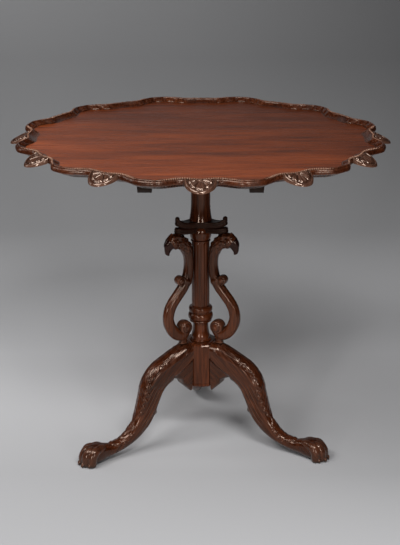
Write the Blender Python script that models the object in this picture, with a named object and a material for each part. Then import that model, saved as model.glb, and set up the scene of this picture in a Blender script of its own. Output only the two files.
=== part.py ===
"""Tilt-top tripod table: a scalloped, dished top that tips up on a pillar with three carved legs.

Metres, +Z up. The origin is on the floor under the pillar, and -Y is the front.
Radial pieces are modelled with +X pointing out from the pillar and then turned about it.
"""

import math

import bmesh
import bpy
from mathutils import Matrix, Vector

# Clearances
SEAT_GAP = 0.0003
RUNNING_GAP = 0.0003
BLOCK_SIDE_PLAY = 0.0005

# Dished top with its scalloped rim
TOP_HEIGHT = 0.7235
RIM_RISE = 0.010
BOARD_THICKNESS = 0.013
SCALLOPS = 12
NECK_RADIUS = 0.380
BULGE_RADIUS = 0.406
OGEE_START = math.radians(5.0)
OGEE_END = math.radians(13.5)
RIM_WIDTH = 0.0235
COVE_RUN = 0.62
COVE_CLIMB = 0.2
CREST_INSET = 0.006
CREST_INSET_AT_SHELL = 0.003
CREST_WIDTH = 0.004
CREST_ROUND = 0.0012
OVOLO_DROP = 0.0075
EDGE_DROP = 0.0134
EDGE_INSET = 0.0024
RIM_UNDERCUT = 0.024
SHELL_SEAT_END = math.radians(4.6)
OVOLO_START = math.radians(9.0)
RIM_STEPS = 10

# Carved shells on the rim
SHELL_WIDTH = 0.059
SHELL_REACH = 0.037
SHELL_SIDE_REACH = 0.004
SHELL_SQUARENESS = 1.9
SHELL_BLUNTNESS = 0.75
SHELL_DROP = 0.0165
SHELL_ROOT_THICKNESS = 0.011
SHELL_TIP_THICKNESS = 0.004
SHELL_RIBS = 5
SHELL_RIB_HEIGHT = 0.0012
SHELL_RIB_AT_ROOT = 0.3
SHELL_ROWS = 3

# Bearers under the top and their screws
BEARER_SPACING = 0.224
BEARER_WIDTH = 0.028
BEARER_DEPTH = 0.0295
BEARER_LENGTH = 0.660
BEARER_END_TAPER = 0.045
SCREWS_PER_BEARER = 3
BEARER_SCREW_PITCH = 0.270
SCREW_RADIUS = 0.0024
SCREW_HEAD_RADIUS = 0.0048
SCREW_HEAD_HEIGHT = 0.0026
SCREW_BITE = 0.008
ROUND_HEAD_CROWN = 0.55
ROUND_HEAD_SHOULDER = 0.6

# Block on the pillar and the pivots that the top turns on
PIVOT_FORWARD = 0.083
PIVOT_DROP = 0.014
PIVOT_RADIUS = 0.009
PIVOT_IN_BLOCK = 0.026
BLOCK_BACK = 0.095
BLOCK_THICKNESS = 0.034
BLOCK_CHAMFER = 0.006
BLOCK_TENON_RADIUS = 0.017
WEDGE_WIDTH = 0.005
WEDGE_POINT = 0.0017
WEDGE_DEPTH = 0.020
WEDGE_LENGTH = 0.030

# Brass catch behind the block
CATCH_WALL = 0.002
CATCH_CASE_LENGTH = 0.046
CATCH_FLANGE = 0.016
CATCH_STANDOFF = 0.004
CATCH_SCREW_BITE = 0.008
CATCH_TRAVEL = 0.009
BOLT_WIDTH = 0.012
BOLT_HEIGHT = 0.008
BOLT_LENGTH = 0.062
BOLT_DROP = 0.0145
BOLT_STANDOFF = 0.0015
KNOB_RADIUS = 0.006
KNOB_STEM_RADIUS = 0.003
KNOB_STEM_LENGTH = 0.009
SPRING_LENGTH = 0.034
SPRING_WIDTH = 0.010
SPRING_GAUGE = 0.0006
KEEPER_WIDTH = 0.044
KEEPER_HEIGHT = 0.024
KEEPER_THICKNESS = 0.0015
KEEPER_SCREW_PITCH = 0.030
KEEPER_MORTISE = 0.011

# Pillar, with a capital of two three-horned tiers
SHAFT_RADIUS = 0.0216
SHAFT_FOOT_RADIUS = 0.0242
SHAFT_FOOT_FLARE = 0.045
CAPITAL_TOP = 0.5268
CAPITAL_TIER = 0.0130
CAPITAL_WAIST_RADIUS = 0.0245
CAPITAL_COLLAR_INSET = 0.0035
UPPER_HORN_REACH = 0.0665
UPPER_HORN_RISE = 0.0150
LOWER_HORN_REACH = 0.0685
LOWER_HORN_RISE = 0.0070
HORN_CURL = 4.0
HORN_THINNING = 0.12
HORN_HALF_WIDTH = math.radians(7)
HORN_TIP_FALL = 0.12
HORN_STEPS = 5
HORN_ROWS = (0, 0.5, 0.8, 1)
PILLAR_TENON_RADIUS = 0.013
PILLAR_TENON_DEPTH = 0.026
KNOP_RADIUS = 0.0246
KNOP_NECK_RADIUS = 0.0215
KNOP_HEIGHT = 0.023
REED_RADIUS = 0.0205
REED_DEPTH = 0.0012
REED_FADE = 0.005
REEDS = 12
REED_WAVE = (0, 1, 1)
RING_TOP = 0.3215
RING_CORE_RADIUS = 0.0240
UPPER_RING_RADIUS = 0.0272
UPPER_RING_HEIGHT = 0.0137
LOWER_RING_RADIUS = 0.0286
LOWER_RING_HEIGHT = 0.0173
RING_FILLET = 0.006
VASE_NECK_RADIUS = 0.0176
VASE_RADIUS = 0.0226
VASE_FOOT_RADIUS = 0.0252
VASE_FLARE = 2.6
VASE_FOOT_HEIGHT = 0.0035
VASE_STEPS = 4

# Hub that the legs are dovetailed into
TRIPOD_TURN = math.radians(3.0)
LEGS = 3
HUB_TOP = 0.2405
HUB_BOTTOM = 0.1350
HUB_PANEL_OUT = 0.040
HUB_PANEL_WIDTH = 0.035
HUB_EDGE = 0.003
HUB_TENON_RADIUS = 0.012
HUB_TENON_DEPTH = 0.034
TONGUE_LENGTH = 0.015
TONGUE_NECK = 0.012
TONGUE_END = 0.019
TONGUE_TOP_MARGIN = 0.018

# Legs: distance out, height of the middle, depth and width at each station
LEG_ROOT_BOTTOM = 0.1215
LEG_ROOT_WIDTH = 0.050
LEG_BRACKET_OUT = 0.070
LEG_BRACKET_BOTTOM = 0.1535
LEG_BRACKET_WIDTH = 0.047
LEG_STEP = 0.009
LEG_SHOULDER_FALL = 0.0075
LEG_STATIONS = (
    (0.0910, 0.1875, 0.0610, 0.044),
    (0.1260, 0.1625, 0.0580, 0.041),
    (0.1405, 0.1235, 0.0530, 0.038),
    (0.1575, 0.0805, 0.0440, 0.034),
    (0.1825, 0.0493, 0.0345, 0.031),
    (0.2120, 0.0330, 0.0260, 0.029),
    (0.2400, 0.0285, 0.0260, 0.030),
)
LEG_STEPS = 2

# Section of a leg: fall of the domed top as a share of the width, and the belly's corners
LEG_DOME = 0.42
DOME_LIMIT = 0.8
SEAT_DOME = 0.05
SHOULDER_DOME = 0.30
DOME_SQUARENESS = 2.3
CROWN_STEPS = 8
BELLY = ((1, 0.1), (0.95, -0.6), (0.6, -1), (-0.6, -1), (-0.95, -0.6), (-1, 0.1))

# Paws: distance back from the toe tips, lowest and highest point, width, share of the height cut between toes
FOOT_REACH = 0.320
TOES = 4
PAW_STATIONS = (
    (0.062, 0.0135, 0.0440, 0.036, 0.00),
    (0.048, 0.0085, 0.0480, 0.043, 0.06),
    (0.034, 0.0035, 0.0475, 0.048, 0.14),
    (0.022, 0.0000, 0.0455, 0.050, 0.24),
    (0.012, 0.0000, 0.0405, 0.047, 0.34),
    (0.005, 0.0015, 0.0300, 0.040, 0.46),
    (0.000, 0.0065, 0.0190, 0.030, 0.50),
)

# Eagle-headed brackets: offset from the pillar, share of the height, half width
BRACKET_THICKNESS = 0.024
VOLUTE_STATIONS = (
    (0.0190, 0.205, 0.0040),
    (0.0130, 0.195, 0.0062),
    (0.0095, 0.165, 0.0080),
    (0.0120, 0.115, 0.0115),
    (0.0220, 0.056, 0.0160),
    (0.0360, 0.072, 0.0150),
    (0.0480, 0.128, 0.0138),
    (0.0560, 0.200, 0.0130),
    (0.0580, 0.265, 0.0125),
)
NECK_STATIONS = (
    (0.0620, 0.335, 0.0125),
    (0.0530, 0.395, 0.0120),
    (0.0400, 0.455, 0.0120),
    (0.0270, 0.515, 0.0120),
    (0.0170, 0.585, 0.0115),
    (0.0120, 0.665, 0.0110),
    (0.0110, 0.745, 0.0108),
    (0.0140, 0.820, 0.0110),
    (0.0230, 0.885, 0.0118),
    (0.0360, 0.924, 0.0145),
    (0.0500, 0.932, 0.0165),
    (0.0615, 0.908, 0.0140),
    (0.0655, 0.872, 0.0090),
    (0.0665, 0.838, 0.0055),
    (0.0640, 0.814, 0.0022),
)
STRAP_SECTION = ((1, 0), (0.92, 0.72), (0.5, 1), (-0.5, 1), (-0.92, 0.72))
STRAP_LEAST_THICKNESS = 0.4
STRAP_FULL_WIDTH = 0.0096
EYE_OFFSET = 0.0155
EYE_SHARE = 0.158
EYE_RADIUS = 0.0128
KNUCKLE_OFFSET = 0.0345
KNUCKLE_SHARE = 0.585
KNUCKLE_RADIUS = 0.0112
SCROLL_PROUD = 0.0012
BRACKET_DOWEL_RADIUS = 0.0035
BRACKET_DOWEL_LENGTH = 0.024
NECK_DOWEL_SHARE = 0.760
FOOT_DOWEL_OFFSET = 0.0225

# Facets
TURNED_SIDES = 32
ROD_SIDES = 16
DOWEL_SIDES = 8
SCREW_SIDES = 8
SCROLL_SIDES = 12
QUARTER_STEPS = 6
BEAD_STEPS = 4
FLARE_STEPS = 3
KNOB_STEPS = 6
SPRING_STEPS = 8
SHARP_ANGLE = math.radians(35)

# Heights and places that follow from the sizes above
FIELD_Z = TOP_HEIGHT - RIM_RISE
UNDERSIDE_Z = FIELD_Z - BOARD_THICKNESS
HANGER_Z = UNDERSIDE_Z - SEAT_GAP
BLOCK_TOP = UNDERSIDE_Z - SEAT_GAP
BLOCK_BOTTOM = BLOCK_TOP - BLOCK_THICKNESS
PIVOT_Y = -PIVOT_FORWARD
PIVOT_Z = UNDERSIDE_Z - PIVOT_DROP
BEARER_INNER = (BEARER_SPACING - BEARER_WIDTH) / 2
BLOCK_HALF_WIDTH = BEARER_INNER - BLOCK_SIDE_PLAY
KEEPER_FACE = BLOCK_BACK + SEAT_GAP + KEEPER_THICKNESS
CASE_FRONT = KEEPER_FACE + CATCH_STANDOFF
BOLT_Z = UNDERSIDE_Z - BOLT_DROP
BOLT_TIP = KEEPER_FACE + BOLT_STANDOFF
BOLT_HOLE_X = BOLT_WIDTH / 2 + RUNNING_GAP
BOLT_HOLE_Z = BOLT_HEIGHT / 2 + RUNNING_GAP
KNOB_Y = CASE_FRONT + CATCH_CASE_LENGTH / 2
UPPER_TIER_BOTTOM = CAPITAL_TOP - CAPITAL_TIER
LOWER_TIER_TOP = UPPER_TIER_BOTTOM - SEAT_GAP
CAPITAL_BOTTOM = LOWER_TIER_TOP - CAPITAL_TIER
LOWER_SHAFT_TOP = CAPITAL_BOTTOM - SEAT_GAP
VASE_TOP = RING_TOP - UPPER_RING_HEIGHT - LOWER_RING_HEIGHT - RING_FILLET
LOWER_SHAFT_FOOT = HUB_TOP + SEAT_GAP
BRACKET_SEAT = HUB_TOP + SEAT_GAP
BRACKET_RISE = CAPITAL_BOTTOM - SEAT_GAP - BRACKET_SEAT
LEG_SPACING = 2 * math.pi / LEGS
HUB_FACE = HUB_PANEL_OUT * math.cos(LEG_SPACING / 2) + HUB_PANEL_WIDTH / 2 * math.sin(LEG_SPACING / 2)
TONGUE_TOP = HUB_TOP - TONGUE_TOP_MARGIN
QUARTER = [math.pi / 2 * i / QUARTER_STEPS for i in range(QUARTER_STEPS + 1)]

# Colours, roughness and metallic value of each finish
FINISHES = {
    "top": ((0.17, 0.050, 0.028), 0.28, 0.0),
    "carving": ((0.085, 0.034, 0.022), 0.30, 0.0),
    "pillar": ((0.095, 0.032, 0.020), 0.26, 0.0),
    "hidden_wood": ((0.16, 0.085, 0.045), 0.60, 0.0),
    "brass": ((0.56, 0.41, 0.17), 0.35, 1.0),
    "steel": ((0.33, 0.32, 0.31), 0.45, 1.0),
}


def cap(mesh, loop, fan):
    """Closes a ring with one face, or with triangles round its middle."""
    if not fan:
        mesh.faces.new(loop)
        return
    middle = mesh.verts.new(sum((vert.co for vert in loop), Vector()) / len(loop))
    for i, vert in enumerate(loop):
        mesh.faces.new((vert, loop[(i + 1) % len(loop)], middle))


def skin(mesh, rings, wrap=False, fan=False):
    """Adds a closed body over rings of equally many points, capped unless the rings run in a circle."""
    loops = [[mesh.verts.new(point) for point in ring] for ring in rings]
    pairs = list(zip(loops, loops[1:]))
    if wrap:
        pairs.append((loops[-1], loops[0]))
    for near, far in pairs:
        for i in range(len(near)):
            j = (i + 1) % len(near)
            mesh.faces.new((near[i], near[j], far[j], far[i]))
    if not wrap:
        cap(mesh, loops[0], fan)
        cap(mesh, loops[-1], fan)


def loft(rings, wrap=False, fan=False):
    mesh = bmesh.new()
    skin(mesh, rings, wrap, fan)
    return mesh


def circle(radius, height, sides):
    """Level ring of points round the Z axis."""
    angles = [2 * math.pi * i / sides for i in range(sides)]
    return [Vector((radius * math.cos(a), radius * math.sin(a), height)) for a in angles]


def turned(profile, sides=TURNED_SIDES):
    """Body of revolution about Z from (radius, height) points."""
    return loft([circle(radius, height, sides) for radius, height in profile])


def rod_rings(start, end, radii, sides):
    """Rings square to a straight line, one for each (distance from its start, radius)."""
    start, end = Vector(start), Vector(end)
    turn = (end - start).to_track_quat("Z", "Y")
    return [
        [start + turn @ point for point in circle(radius, distance, sides)]
        for distance, radius in radii
    ]


def plain_rod_rings(start, end, radius, sides):
    length = (Vector(end) - Vector(start)).length
    return rod_rings(start, end, ((0, radius), (length, radius)), sides)


def rod(start, end, radius, sides=ROD_SIDES):
    return loft(plain_rod_rings(start, end, radius, sides))


def bore(start, end, radius, gap, sides=ROD_SIDES):
    """Tool for a round hole whose flats stay clear of a pin of that radius by the gap."""
    return rod(start, end, (radius + gap) / math.cos(math.pi / sides), sides)


def prism(outline, low, high, axis="Z"):
    """Extrudes an outline along an axis. Its points are the other two coordinates, in X, Y, Z order."""
    def at(point, along):
        values = list(point)
        values.insert("XYZ".index(axis), along)
        return Vector(values)
    return loft([[at(point, low) for point in outline], [at(point, high) for point in outline]])


def box(low, high):
    corners = ((low[0], low[1]), (high[0], low[1]), (high[0], high[1]), (low[0], high[1]))
    return prism(corners, low[2], high[2])


def finish(name, kind):
    """Principled material of one piece."""
    colour, roughness, metallic = FINISHES[kind]
    material = bpy.data.materials.new(name + "_finish")
    material.use_nodes = True
    shader = material.node_tree.nodes["Principled BSDF"]
    shader.inputs["Base Color"].default_value = (*colour, 1)
    shader.inputs["Roughness"].default_value = roughness
    shader.inputs["Metallic"].default_value = metallic
    material.diffuse_color = (*colour, 1)
    return material


def add(name, mesh, kind=None, parent=None, turn=0.0):
    """Makes an object from a mesh, turned about the pillar. Without a finish it is a cutting tool."""
    bmesh.ops.recalc_face_normals(mesh, faces=mesh.faces)
    data = bpy.data.meshes.new(name)
    mesh.to_mesh(data)
    mesh.free()
    piece = bpy.data.objects.new(name, data)
    bpy.context.scene.collection.objects.link(piece)
    piece.rotation_euler.z = turn
    if kind is None:
        piece.hide_render = True
        piece.display_type = "WIRE"
        return piece
    data.shade_smooth()
    data.set_sharp_from_angle(angle=SHARP_ANGLE)
    data.materials.append(finish(name, kind))
    if parent is not None:
        piece.parent = parent
        piece.matrix_parent_inverse = Matrix.Translation(parent.location).inverted()
    return piece


def combine(piece, mesh, operation="DIFFERENCE", turn=0.0):
    """Cuts a tool's shape from a piece, or joins it on."""
    tool = add(f"{piece.name}_tool_{len(piece.modifiers)}", mesh, turn=turn)
    modifier = piece.modifiers.new(tool.name, "BOOLEAN")
    modifier.operation = operation
    modifier.object = tool
    modifier.solver = "EXACT"


def axis_empty(name, location):
    """Marks the axis that a moving body turns on or slides along."""
    empty = bpy.data.objects.new(name, None)
    empty.location = location
    bpy.context.scene.collection.objects.link(empty)
    return empty


def leg_turn(index):
    return TRIPOD_TURN + LEG_SPACING * (index - 1) - math.pi / 2 + LEG_SPACING / 2


def smooth_step(share):
    share = min(max(share, 0.0), 1.0)
    return share * share * (3 - 2 * share)


def spline(stations, steps):
    """Smooth run of stations through the given ones."""
    points = [Vector(station) for station in stations]
    points = [2 * points[0] - points[1]] + points + [2 * points[-1] - points[-2]]
    run = []
    for a, b, c, d in zip(points, points[1:], points[2:], points[3:]):
        for i in range(steps):
            t = i / steps
            bend = (2 * a - 5 * b + 4 * c - d) * t ** 2 + (3 * b - a - 3 * c + d) * t ** 3
            run.append((2 * b + (c - a) * t + bend) / 2)
    run.append(points[-2])
    return run


def from_shell(angle):
    """Angle from the middle of the nearest shell."""
    pitch = 2 * math.pi / SCALLOPS
    return abs((angle + pitch / 2) % pitch - pitch / 2)


def rim_radius(angle):
    """Radius of the rim's outer edge."""
    share = (from_shell(angle) - OGEE_START) / (OGEE_END - OGEE_START)
    return NECK_RADIUS + (BULGE_RADIUS - NECK_RADIUS) * smooth_step(share)


def rim_corner_radius(angle):
    """Radius of the board's faceted edge, which runs straight between the rim's corners."""
    step = 2 * math.pi / (SCALLOPS * RIM_STEPS)
    low = math.floor(angle / step) * step
    near, far = rim_radius(low), rim_radius(low + step)
    share = (angle - low) / step
    return near + (far - near) * share


def rim_section(angle):
    """Moulding of the rim as (distance from its edge, height): an ovolo, but upright where a shell seats."""
    swell = smooth_step((from_shell(angle) - SHELL_SEAT_END) / (OVOLO_START - SHELL_SEAT_END))
    crest = CREST_INSET_AT_SHELL + (CREST_INSET - CREST_INSET_AT_SHELL) * swell
    return (
        (-RIM_WIDTH, FIELD_Z),
        (-RIM_WIDTH * COVE_RUN, FIELD_Z + RIM_RISE * COVE_CLIMB),
        (-crest - CREST_WIDTH / 4, TOP_HEIGHT),
        (-crest + CREST_WIDTH / 2, TOP_HEIGHT - CREST_ROUND),
        (0.0, TOP_HEIGHT - OVOLO_DROP),
        (-EDGE_INSET * swell, TOP_HEIGHT - EDGE_DROP),
        (-RIM_UNDERCUT, UNDERSIDE_Z),
    )


def top_board(parent):
    """Dished board whose rim swells out between the shells."""
    count = SCALLOPS * RIM_STEPS
    columns = []
    for i in range(count):
        angle = 2 * math.pi * i / count
        turn = Matrix.Rotation(angle, 3, "Z")
        edge = rim_radius(angle)
        columns.append([turn @ Vector((edge + offset, 0, height)) for offset, height in rim_section(angle)])
    rings = [list(ring) for ring in zip(*columns)]
    board = add("top_board", loft(rings, fan=True), "top", parent, -math.pi / 2)
    holes = bmesh.new()
    for x, y in bearer_screw_places():
        hole_at(holes, x, y, UNDERSIDE_Z, SCREW_BITE)
    for x, y in catch_screw_places():
        hole_at(holes, x, y, UNDERSIDE_Z, CATCH_SCREW_BITE)
    combine(board, holes)


def hole_at(mesh, x, y, mouth, depth):
    """Upright blind hole for a screw, opening downwards."""
    low = (x, y, mouth - depth)
    high = (x, y, mouth + depth + SEAT_GAP)
    radius = SCREW_RADIUS + SEAT_GAP
    skin(mesh, plain_rod_rings(low, high, radius, SCREW_SIDES))


def shell_reach(side):
    """How far the shell hangs out from the rim, from one side at -1 to the other at 1."""
    bow = (1 - abs(side) ** SHELL_SQUARENESS) ** SHELL_BLUNTNESS
    return SHELL_SIDE_REACH + (SHELL_REACH - SHELL_SIDE_REACH) * bow


def shell(index, parent):
    """Ribbed fan that hangs from the rim, seated against the neck between two swellings."""
    half_angle = math.asin(SHELL_WIDTH / 2 / NECK_RADIUS)
    columns = 2 * SHELL_RIBS
    root_z = TOP_HEIGHT - CREST_ROUND - SHELL_RIB_HEIGHT
    rings = []
    for column in range(columns + 1):
        side = 2 * column / columns - 1
        angle = side * half_angle
        root = (rim_corner_radius(angle) + SEAT_GAP) * Vector((math.cos(angle), math.sin(angle)))
        rib = SHELL_RIB_HEIGHT if column % 2 else -SHELL_RIB_HEIGHT
        over, under = [], []
        for row in range(SHELL_ROWS + 1):
            out = shell_reach(side) * row / SHELL_ROWS
            share = out / SHELL_REACH
            z = root_z - SHELL_DROP * share + rib * (SHELL_RIB_AT_ROOT + (1 - SHELL_RIB_AT_ROOT) * share)
            thickness = SHELL_ROOT_THICKNESS + (SHELL_TIP_THICKNESS - SHELL_ROOT_THICKNESS) * share
            over.append(Vector((root.x + out, root.y, z)))
            under.append(Vector((root.x + out, root.y, z - thickness)))
        rings.append(over + under[::-1])
    turn = 2 * math.pi * index / SCALLOPS - math.pi / 2
    add(f"shell_{index + 1:02d}", loft(rings), "carving", parent, turn)


def bearer_screw_places():
    places = []
    for side in (-1, 1):
        for i in range(SCREWS_PER_BEARER):
            y = (i - (SCREWS_PER_BEARER - 1) / 2) * BEARER_SCREW_PITCH
            places.append((side * BEARER_SPACING / 2, y))
    return places


def catch_screw_places():
    x = BOLT_HOLE_X + CATCH_WALL + CATCH_FLANGE / 2
    return [(-x, KNOB_Y), (x, KNOB_Y)]


def screw_rings(x, y, head, point, play=0.0):
    """Countersunk screw driven upwards, or with play the hole that it needs."""
    mouth = -SCREW_HEAD_HEIGHT if play else 0
    radii = (
        (mouth, SCREW_HEAD_RADIUS + play),
        (play, SCREW_HEAD_RADIUS + play),
        (SCREW_HEAD_HEIGHT + play, SCREW_RADIUS + play),
        (point - head, SCREW_RADIUS + play),
    )
    return rod_rings((x, y, head), (x, y, point), radii if play else radii[1:], SCREW_SIDES)


def bearers(parent):
    """Two battens under the board, with holes for their screws and for the pivots."""
    low = HANGER_Z - BEARER_DEPTH
    half = BEARER_LENGTH / 2
    back_end = [
        (half - BEARER_END_TAPER * (1 - math.cos(a)), HANGER_Z - BEARER_DEPTH * math.sin(a)) for a in QUARTER
    ]
    outline = back_end + [(-y, z) for y, z in reversed(back_end)]
    for name, side in (("left", -1), ("right", 1)):
        middle = side * BEARER_SPACING / 2
        mesh = prism(outline, middle - BEARER_WIDTH / 2, middle + BEARER_WIDTH / 2, "X")
        bearer = add(f"bearer_{name}", mesh, "hidden_wood", parent)
        pivot = ((middle - BEARER_WIDTH, PIVOT_Y, PIVOT_Z), (middle + BEARER_WIDTH, PIVOT_Y, PIVOT_Z))
        combine(bearer, bore(*pivot, PIVOT_RADIUS, RUNNING_GAP))
        holes = bmesh.new()
        for x, y in bearer_screw_places():
            if x * side > 0:
                skin(holes, screw_rings(x, y, low, UNDERSIDE_Z + SCREW_BITE, SEAT_GAP))
        combine(bearer, holes)
    for i, (x, y) in enumerate(bearer_screw_places()):
        mesh = loft(screw_rings(x, y, low, UNDERSIDE_Z + SCREW_BITE))
        add(f"bearer_screw_{i + 1}", mesh, "steel", parent)


def pillar_block():
    """Block that fills the space between the bearers. Its front edge is rounded about the pivots."""
    rounding = PIVOT_DROP - SEAT_GAP
    front = [(PIVOT_Y - rounding * math.sin(a), PIVOT_Z + rounding * math.cos(a)) for a in QUARTER]
    front_y = PIVOT_Y - rounding
    outline = front + [
        (front_y, BLOCK_BOTTOM + BLOCK_CHAMFER),
        (front_y + BLOCK_CHAMFER, BLOCK_BOTTOM),
        (BLOCK_BACK - BLOCK_CHAMFER, BLOCK_BOTTOM),
        (BLOCK_BACK, BLOCK_BOTTOM + BLOCK_CHAMFER),
        (BLOCK_BACK, BLOCK_TOP),
    ]
    block = add("pillar_block", prism(outline, -BLOCK_HALF_WIDTH, BLOCK_HALF_WIDTH, "X"), "hidden_wood")
    through = ((0, 0, BLOCK_BOTTOM - BLOCK_THICKNESS), (0, 0, BLOCK_TOP + BLOCK_THICKNESS))
    combine(block, bore(*through, BLOCK_TENON_RADIUS, SEAT_GAP, TURNED_SIDES))
    for side in (-1, 1):
        inner = (side * (BLOCK_HALF_WIDTH - PIVOT_IN_BLOCK - SEAT_GAP), PIVOT_Y, PIVOT_Z)
        outer = (side * (BLOCK_HALF_WIDTH + PIVOT_IN_BLOCK), PIVOT_Y, PIVOT_Z)
        combine(block, bore(inner, outer, PIVOT_RADIUS, SEAT_GAP))
    combine(block, bolt_hole(BLOCK_BACK - KEEPER_MORTISE, BLOCK_BACK + KEEPER_MORTISE))
    holes = bmesh.new()
    for side in (-1, 1):
        skin(holes, keeper_screw_rings(side, SEAT_GAP, BLOCK_BACK + KEEPER_MORTISE))
    combine(block, holes)


def bolt_hole(front, back):
    """Square hole that the bolt shoots into."""
    low = (-BOLT_HOLE_X, front, BOLT_Z - BOLT_HOLE_Z)
    high = (BOLT_HOLE_X, back, BOLT_Z + BOLT_HOLE_Z)
    return box(low, high)


def keeper_screw_rings(side, play, mouth):
    """Screw of the keeper, whose axis lies along Y."""
    x = side * KEEPER_SCREW_PITCH / 2
    point = BLOCK_BACK - CATCH_SCREW_BITE - play
    radius = SCREW_RADIUS + play
    return plain_rod_rings((x, mouth, BOLT_Z), (x, point, BOLT_Z), radius, SCREW_SIDES)


def pivot_dowels():
    for name, side in (("left", -1), ("right", 1)):
        inner = side * (BLOCK_HALF_WIDTH - PIVOT_IN_BLOCK)
        outer = side * (BEARER_INNER + BEARER_WIDTH)
        mesh = rod((inner, PIVOT_Y, PIVOT_Z), (outer, PIVOT_Y, PIVOT_Z), PIVOT_RADIUS)
        add(f"pivot_dowel_{name}", mesh, "pillar")


def wedge_shape(play, length):
    """Wedge across the pillar's tenon, or with play the slot that it is driven into."""
    point = WEDGE_POINT / 2 + play
    head = WEDGE_WIDTH / 2 + play
    low = BLOCK_TOP - WEDGE_DEPTH - play
    high = BLOCK_TOP + play
    outline = ((-point, low), (point, low), (head, high), (-head, high))
    return prism(outline, -length / 2, length / 2, "X")


def catch(tilt, slide):
    """Brass slide bolt under the board, which shoots into a keeper on the block."""
    outer = BOLT_HOLE_X + CATCH_WALL
    flange = outer + CATCH_FLANGE
    floor = BOLT_Z - BOLT_HOLE_Z
    half = [
        (BOLT_HOLE_X, floor),
        (BOLT_HOLE_X, HANGER_Z),
        (flange, HANGER_Z),
        (flange, HANGER_Z - CATCH_WALL),
        (outer, HANGER_Z - CATCH_WALL),
        (outer, floor - CATCH_WALL),
    ]
    outline = half + [(-x, z) for x, z in reversed(half)]
    case = add("catch_case", prism(outline, CASE_FRONT, CASE_FRONT + CATCH_CASE_LENGTH, "Y"), "brass", tilt)
    stem = KNOB_STEM_RADIUS + RUNNING_GAP
    slot = box(
        (-stem, KNOB_Y - CATCH_TRAVEL - stem, floor - 2 * CATCH_WALL),
        (stem, KNOB_Y + stem, floor + CATCH_WALL),
    )
    combine(case, slot)
    holes = bmesh.new()
    low = HANGER_Z - CATCH_WALL - SCREW_HEAD_HEIGHT
    for x, y in catch_screw_places():
        radius = SCREW_RADIUS + SEAT_GAP
        skin(holes, plain_rod_rings((x, y, low), (x, y, UNDERSIDE_Z), radius, SCREW_SIDES))
    combine(case, holes)
    for i, (x, y) in enumerate(catch_screw_places()):
        head = (x, y, HANGER_Z - CATCH_WALL - SEAT_GAP)
        point = (x, y, UNDERSIDE_Z + CATCH_SCREW_BITE)
        add(f"catch_screw_{i + 1}", loft(round_head_rings(head, point)), "brass", tilt)
    bolt(slide)
    spring(tilt)
    keeper()


def round_head_rings(head, point):
    """Round-headed screw: the head's underside is at head, and the shank runs on to point."""
    head, point = Vector(head), Vector(point)
    along = (point - head).normalized()
    crown = head - along * SCREW_HEAD_HEIGHT
    radii = (
        (0, SCREW_HEAD_RADIUS * ROUND_HEAD_CROWN),
        (SCREW_HEAD_HEIGHT * ROUND_HEAD_SHOULDER, SCREW_HEAD_RADIUS),
        (SCREW_HEAD_HEIGHT, SCREW_HEAD_RADIUS),
        (SCREW_HEAD_HEIGHT, SCREW_RADIUS),
        ((point - crown).length, SCREW_RADIUS),
    )
    return rod_rings(crown, point, radii, SCREW_SIDES)


def bolt(slide):
    """Flat bolt with a ball knob that hangs through the slot of the case."""
    half_x = BOLT_WIDTH / 2
    low = BOLT_Z - BOLT_HEIGHT / 2
    bar = box((-half_x, BOLT_TIP, low), (half_x, BOLT_TIP + BOLT_LENGTH, low + BOLT_HEIGHT))
    piece = add("catch_bolt", bar, "brass", slide)
    ball = low - KNOB_STEM_LENGTH - KNOB_RADIUS
    profile = [(KNOB_STEM_RADIUS, BOLT_Z)]
    for i in range(1, KNOB_STEPS):
        a = math.pi * i / KNOB_STEPS
        profile.append((KNOB_RADIUS * math.sin(a), ball + KNOB_RADIUS * math.cos(a)))
    knob = turned(profile, ROD_SIDES)
    bmesh.ops.translate(knob, verts=knob.verts, vec=(0, KNOB_Y, 0))
    combine(piece, knob, "UNION")


def spring(tilt):
    """Bowed leaf between the bolt and the board, which keeps the bolt where it is put."""
    low = BOLT_Z + BOLT_HEIGHT / 2 + SEAT_GAP
    bow = HANGER_Z - SPRING_GAUGE - low
    half = SPRING_WIDTH / 2
    rings = []
    for i in range(SPRING_STEPS + 1):
        share = 2 * i / SPRING_STEPS - 1
        y = KNOB_Y + share * SPRING_LENGTH / 2
        z = low + bow * math.cos(share * math.pi / 2)
        corners = ((-half, z), (half, z), (half, z + SPRING_GAUGE), (-half, z + SPRING_GAUGE))
        rings.append([Vector((x, y, height)) for x, height in corners])
    add("catch_spring", loft(rings), "steel", tilt)


def keeper():
    """Plate on the back of the block, with a hole for the bolt and two screws."""
    near = BLOCK_BACK + SEAT_GAP
    low = (-KEEPER_WIDTH / 2, near, BOLT_Z - KEEPER_HEIGHT / 2)
    high = (KEEPER_WIDTH / 2, KEEPER_FACE, BOLT_Z + KEEPER_HEIGHT / 2)
    plate = add("keeper_plate", box(low, high), "brass")
    combine(plate, bolt_hole(near - KEEPER_THICKNESS, KEEPER_FACE + KEEPER_THICKNESS))
    holes = bmesh.new()
    for side in (-1, 1):
        skin(holes, keeper_screw_rings(side, SEAT_GAP, KEEPER_FACE + KEEPER_THICKNESS))
    combine(plate, holes)
    for i, side in enumerate((-1, 1)):
        x = side * KEEPER_SCREW_PITCH / 2
        head = (x, KEEPER_FACE + SEAT_GAP, BOLT_Z)
        point = (x, BLOCK_BACK - CATCH_SCREW_BITE, BOLT_Z)
        add(f"keeper_screw_{i + 1}", loft(round_head_rings(head, point)), "brass")


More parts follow.
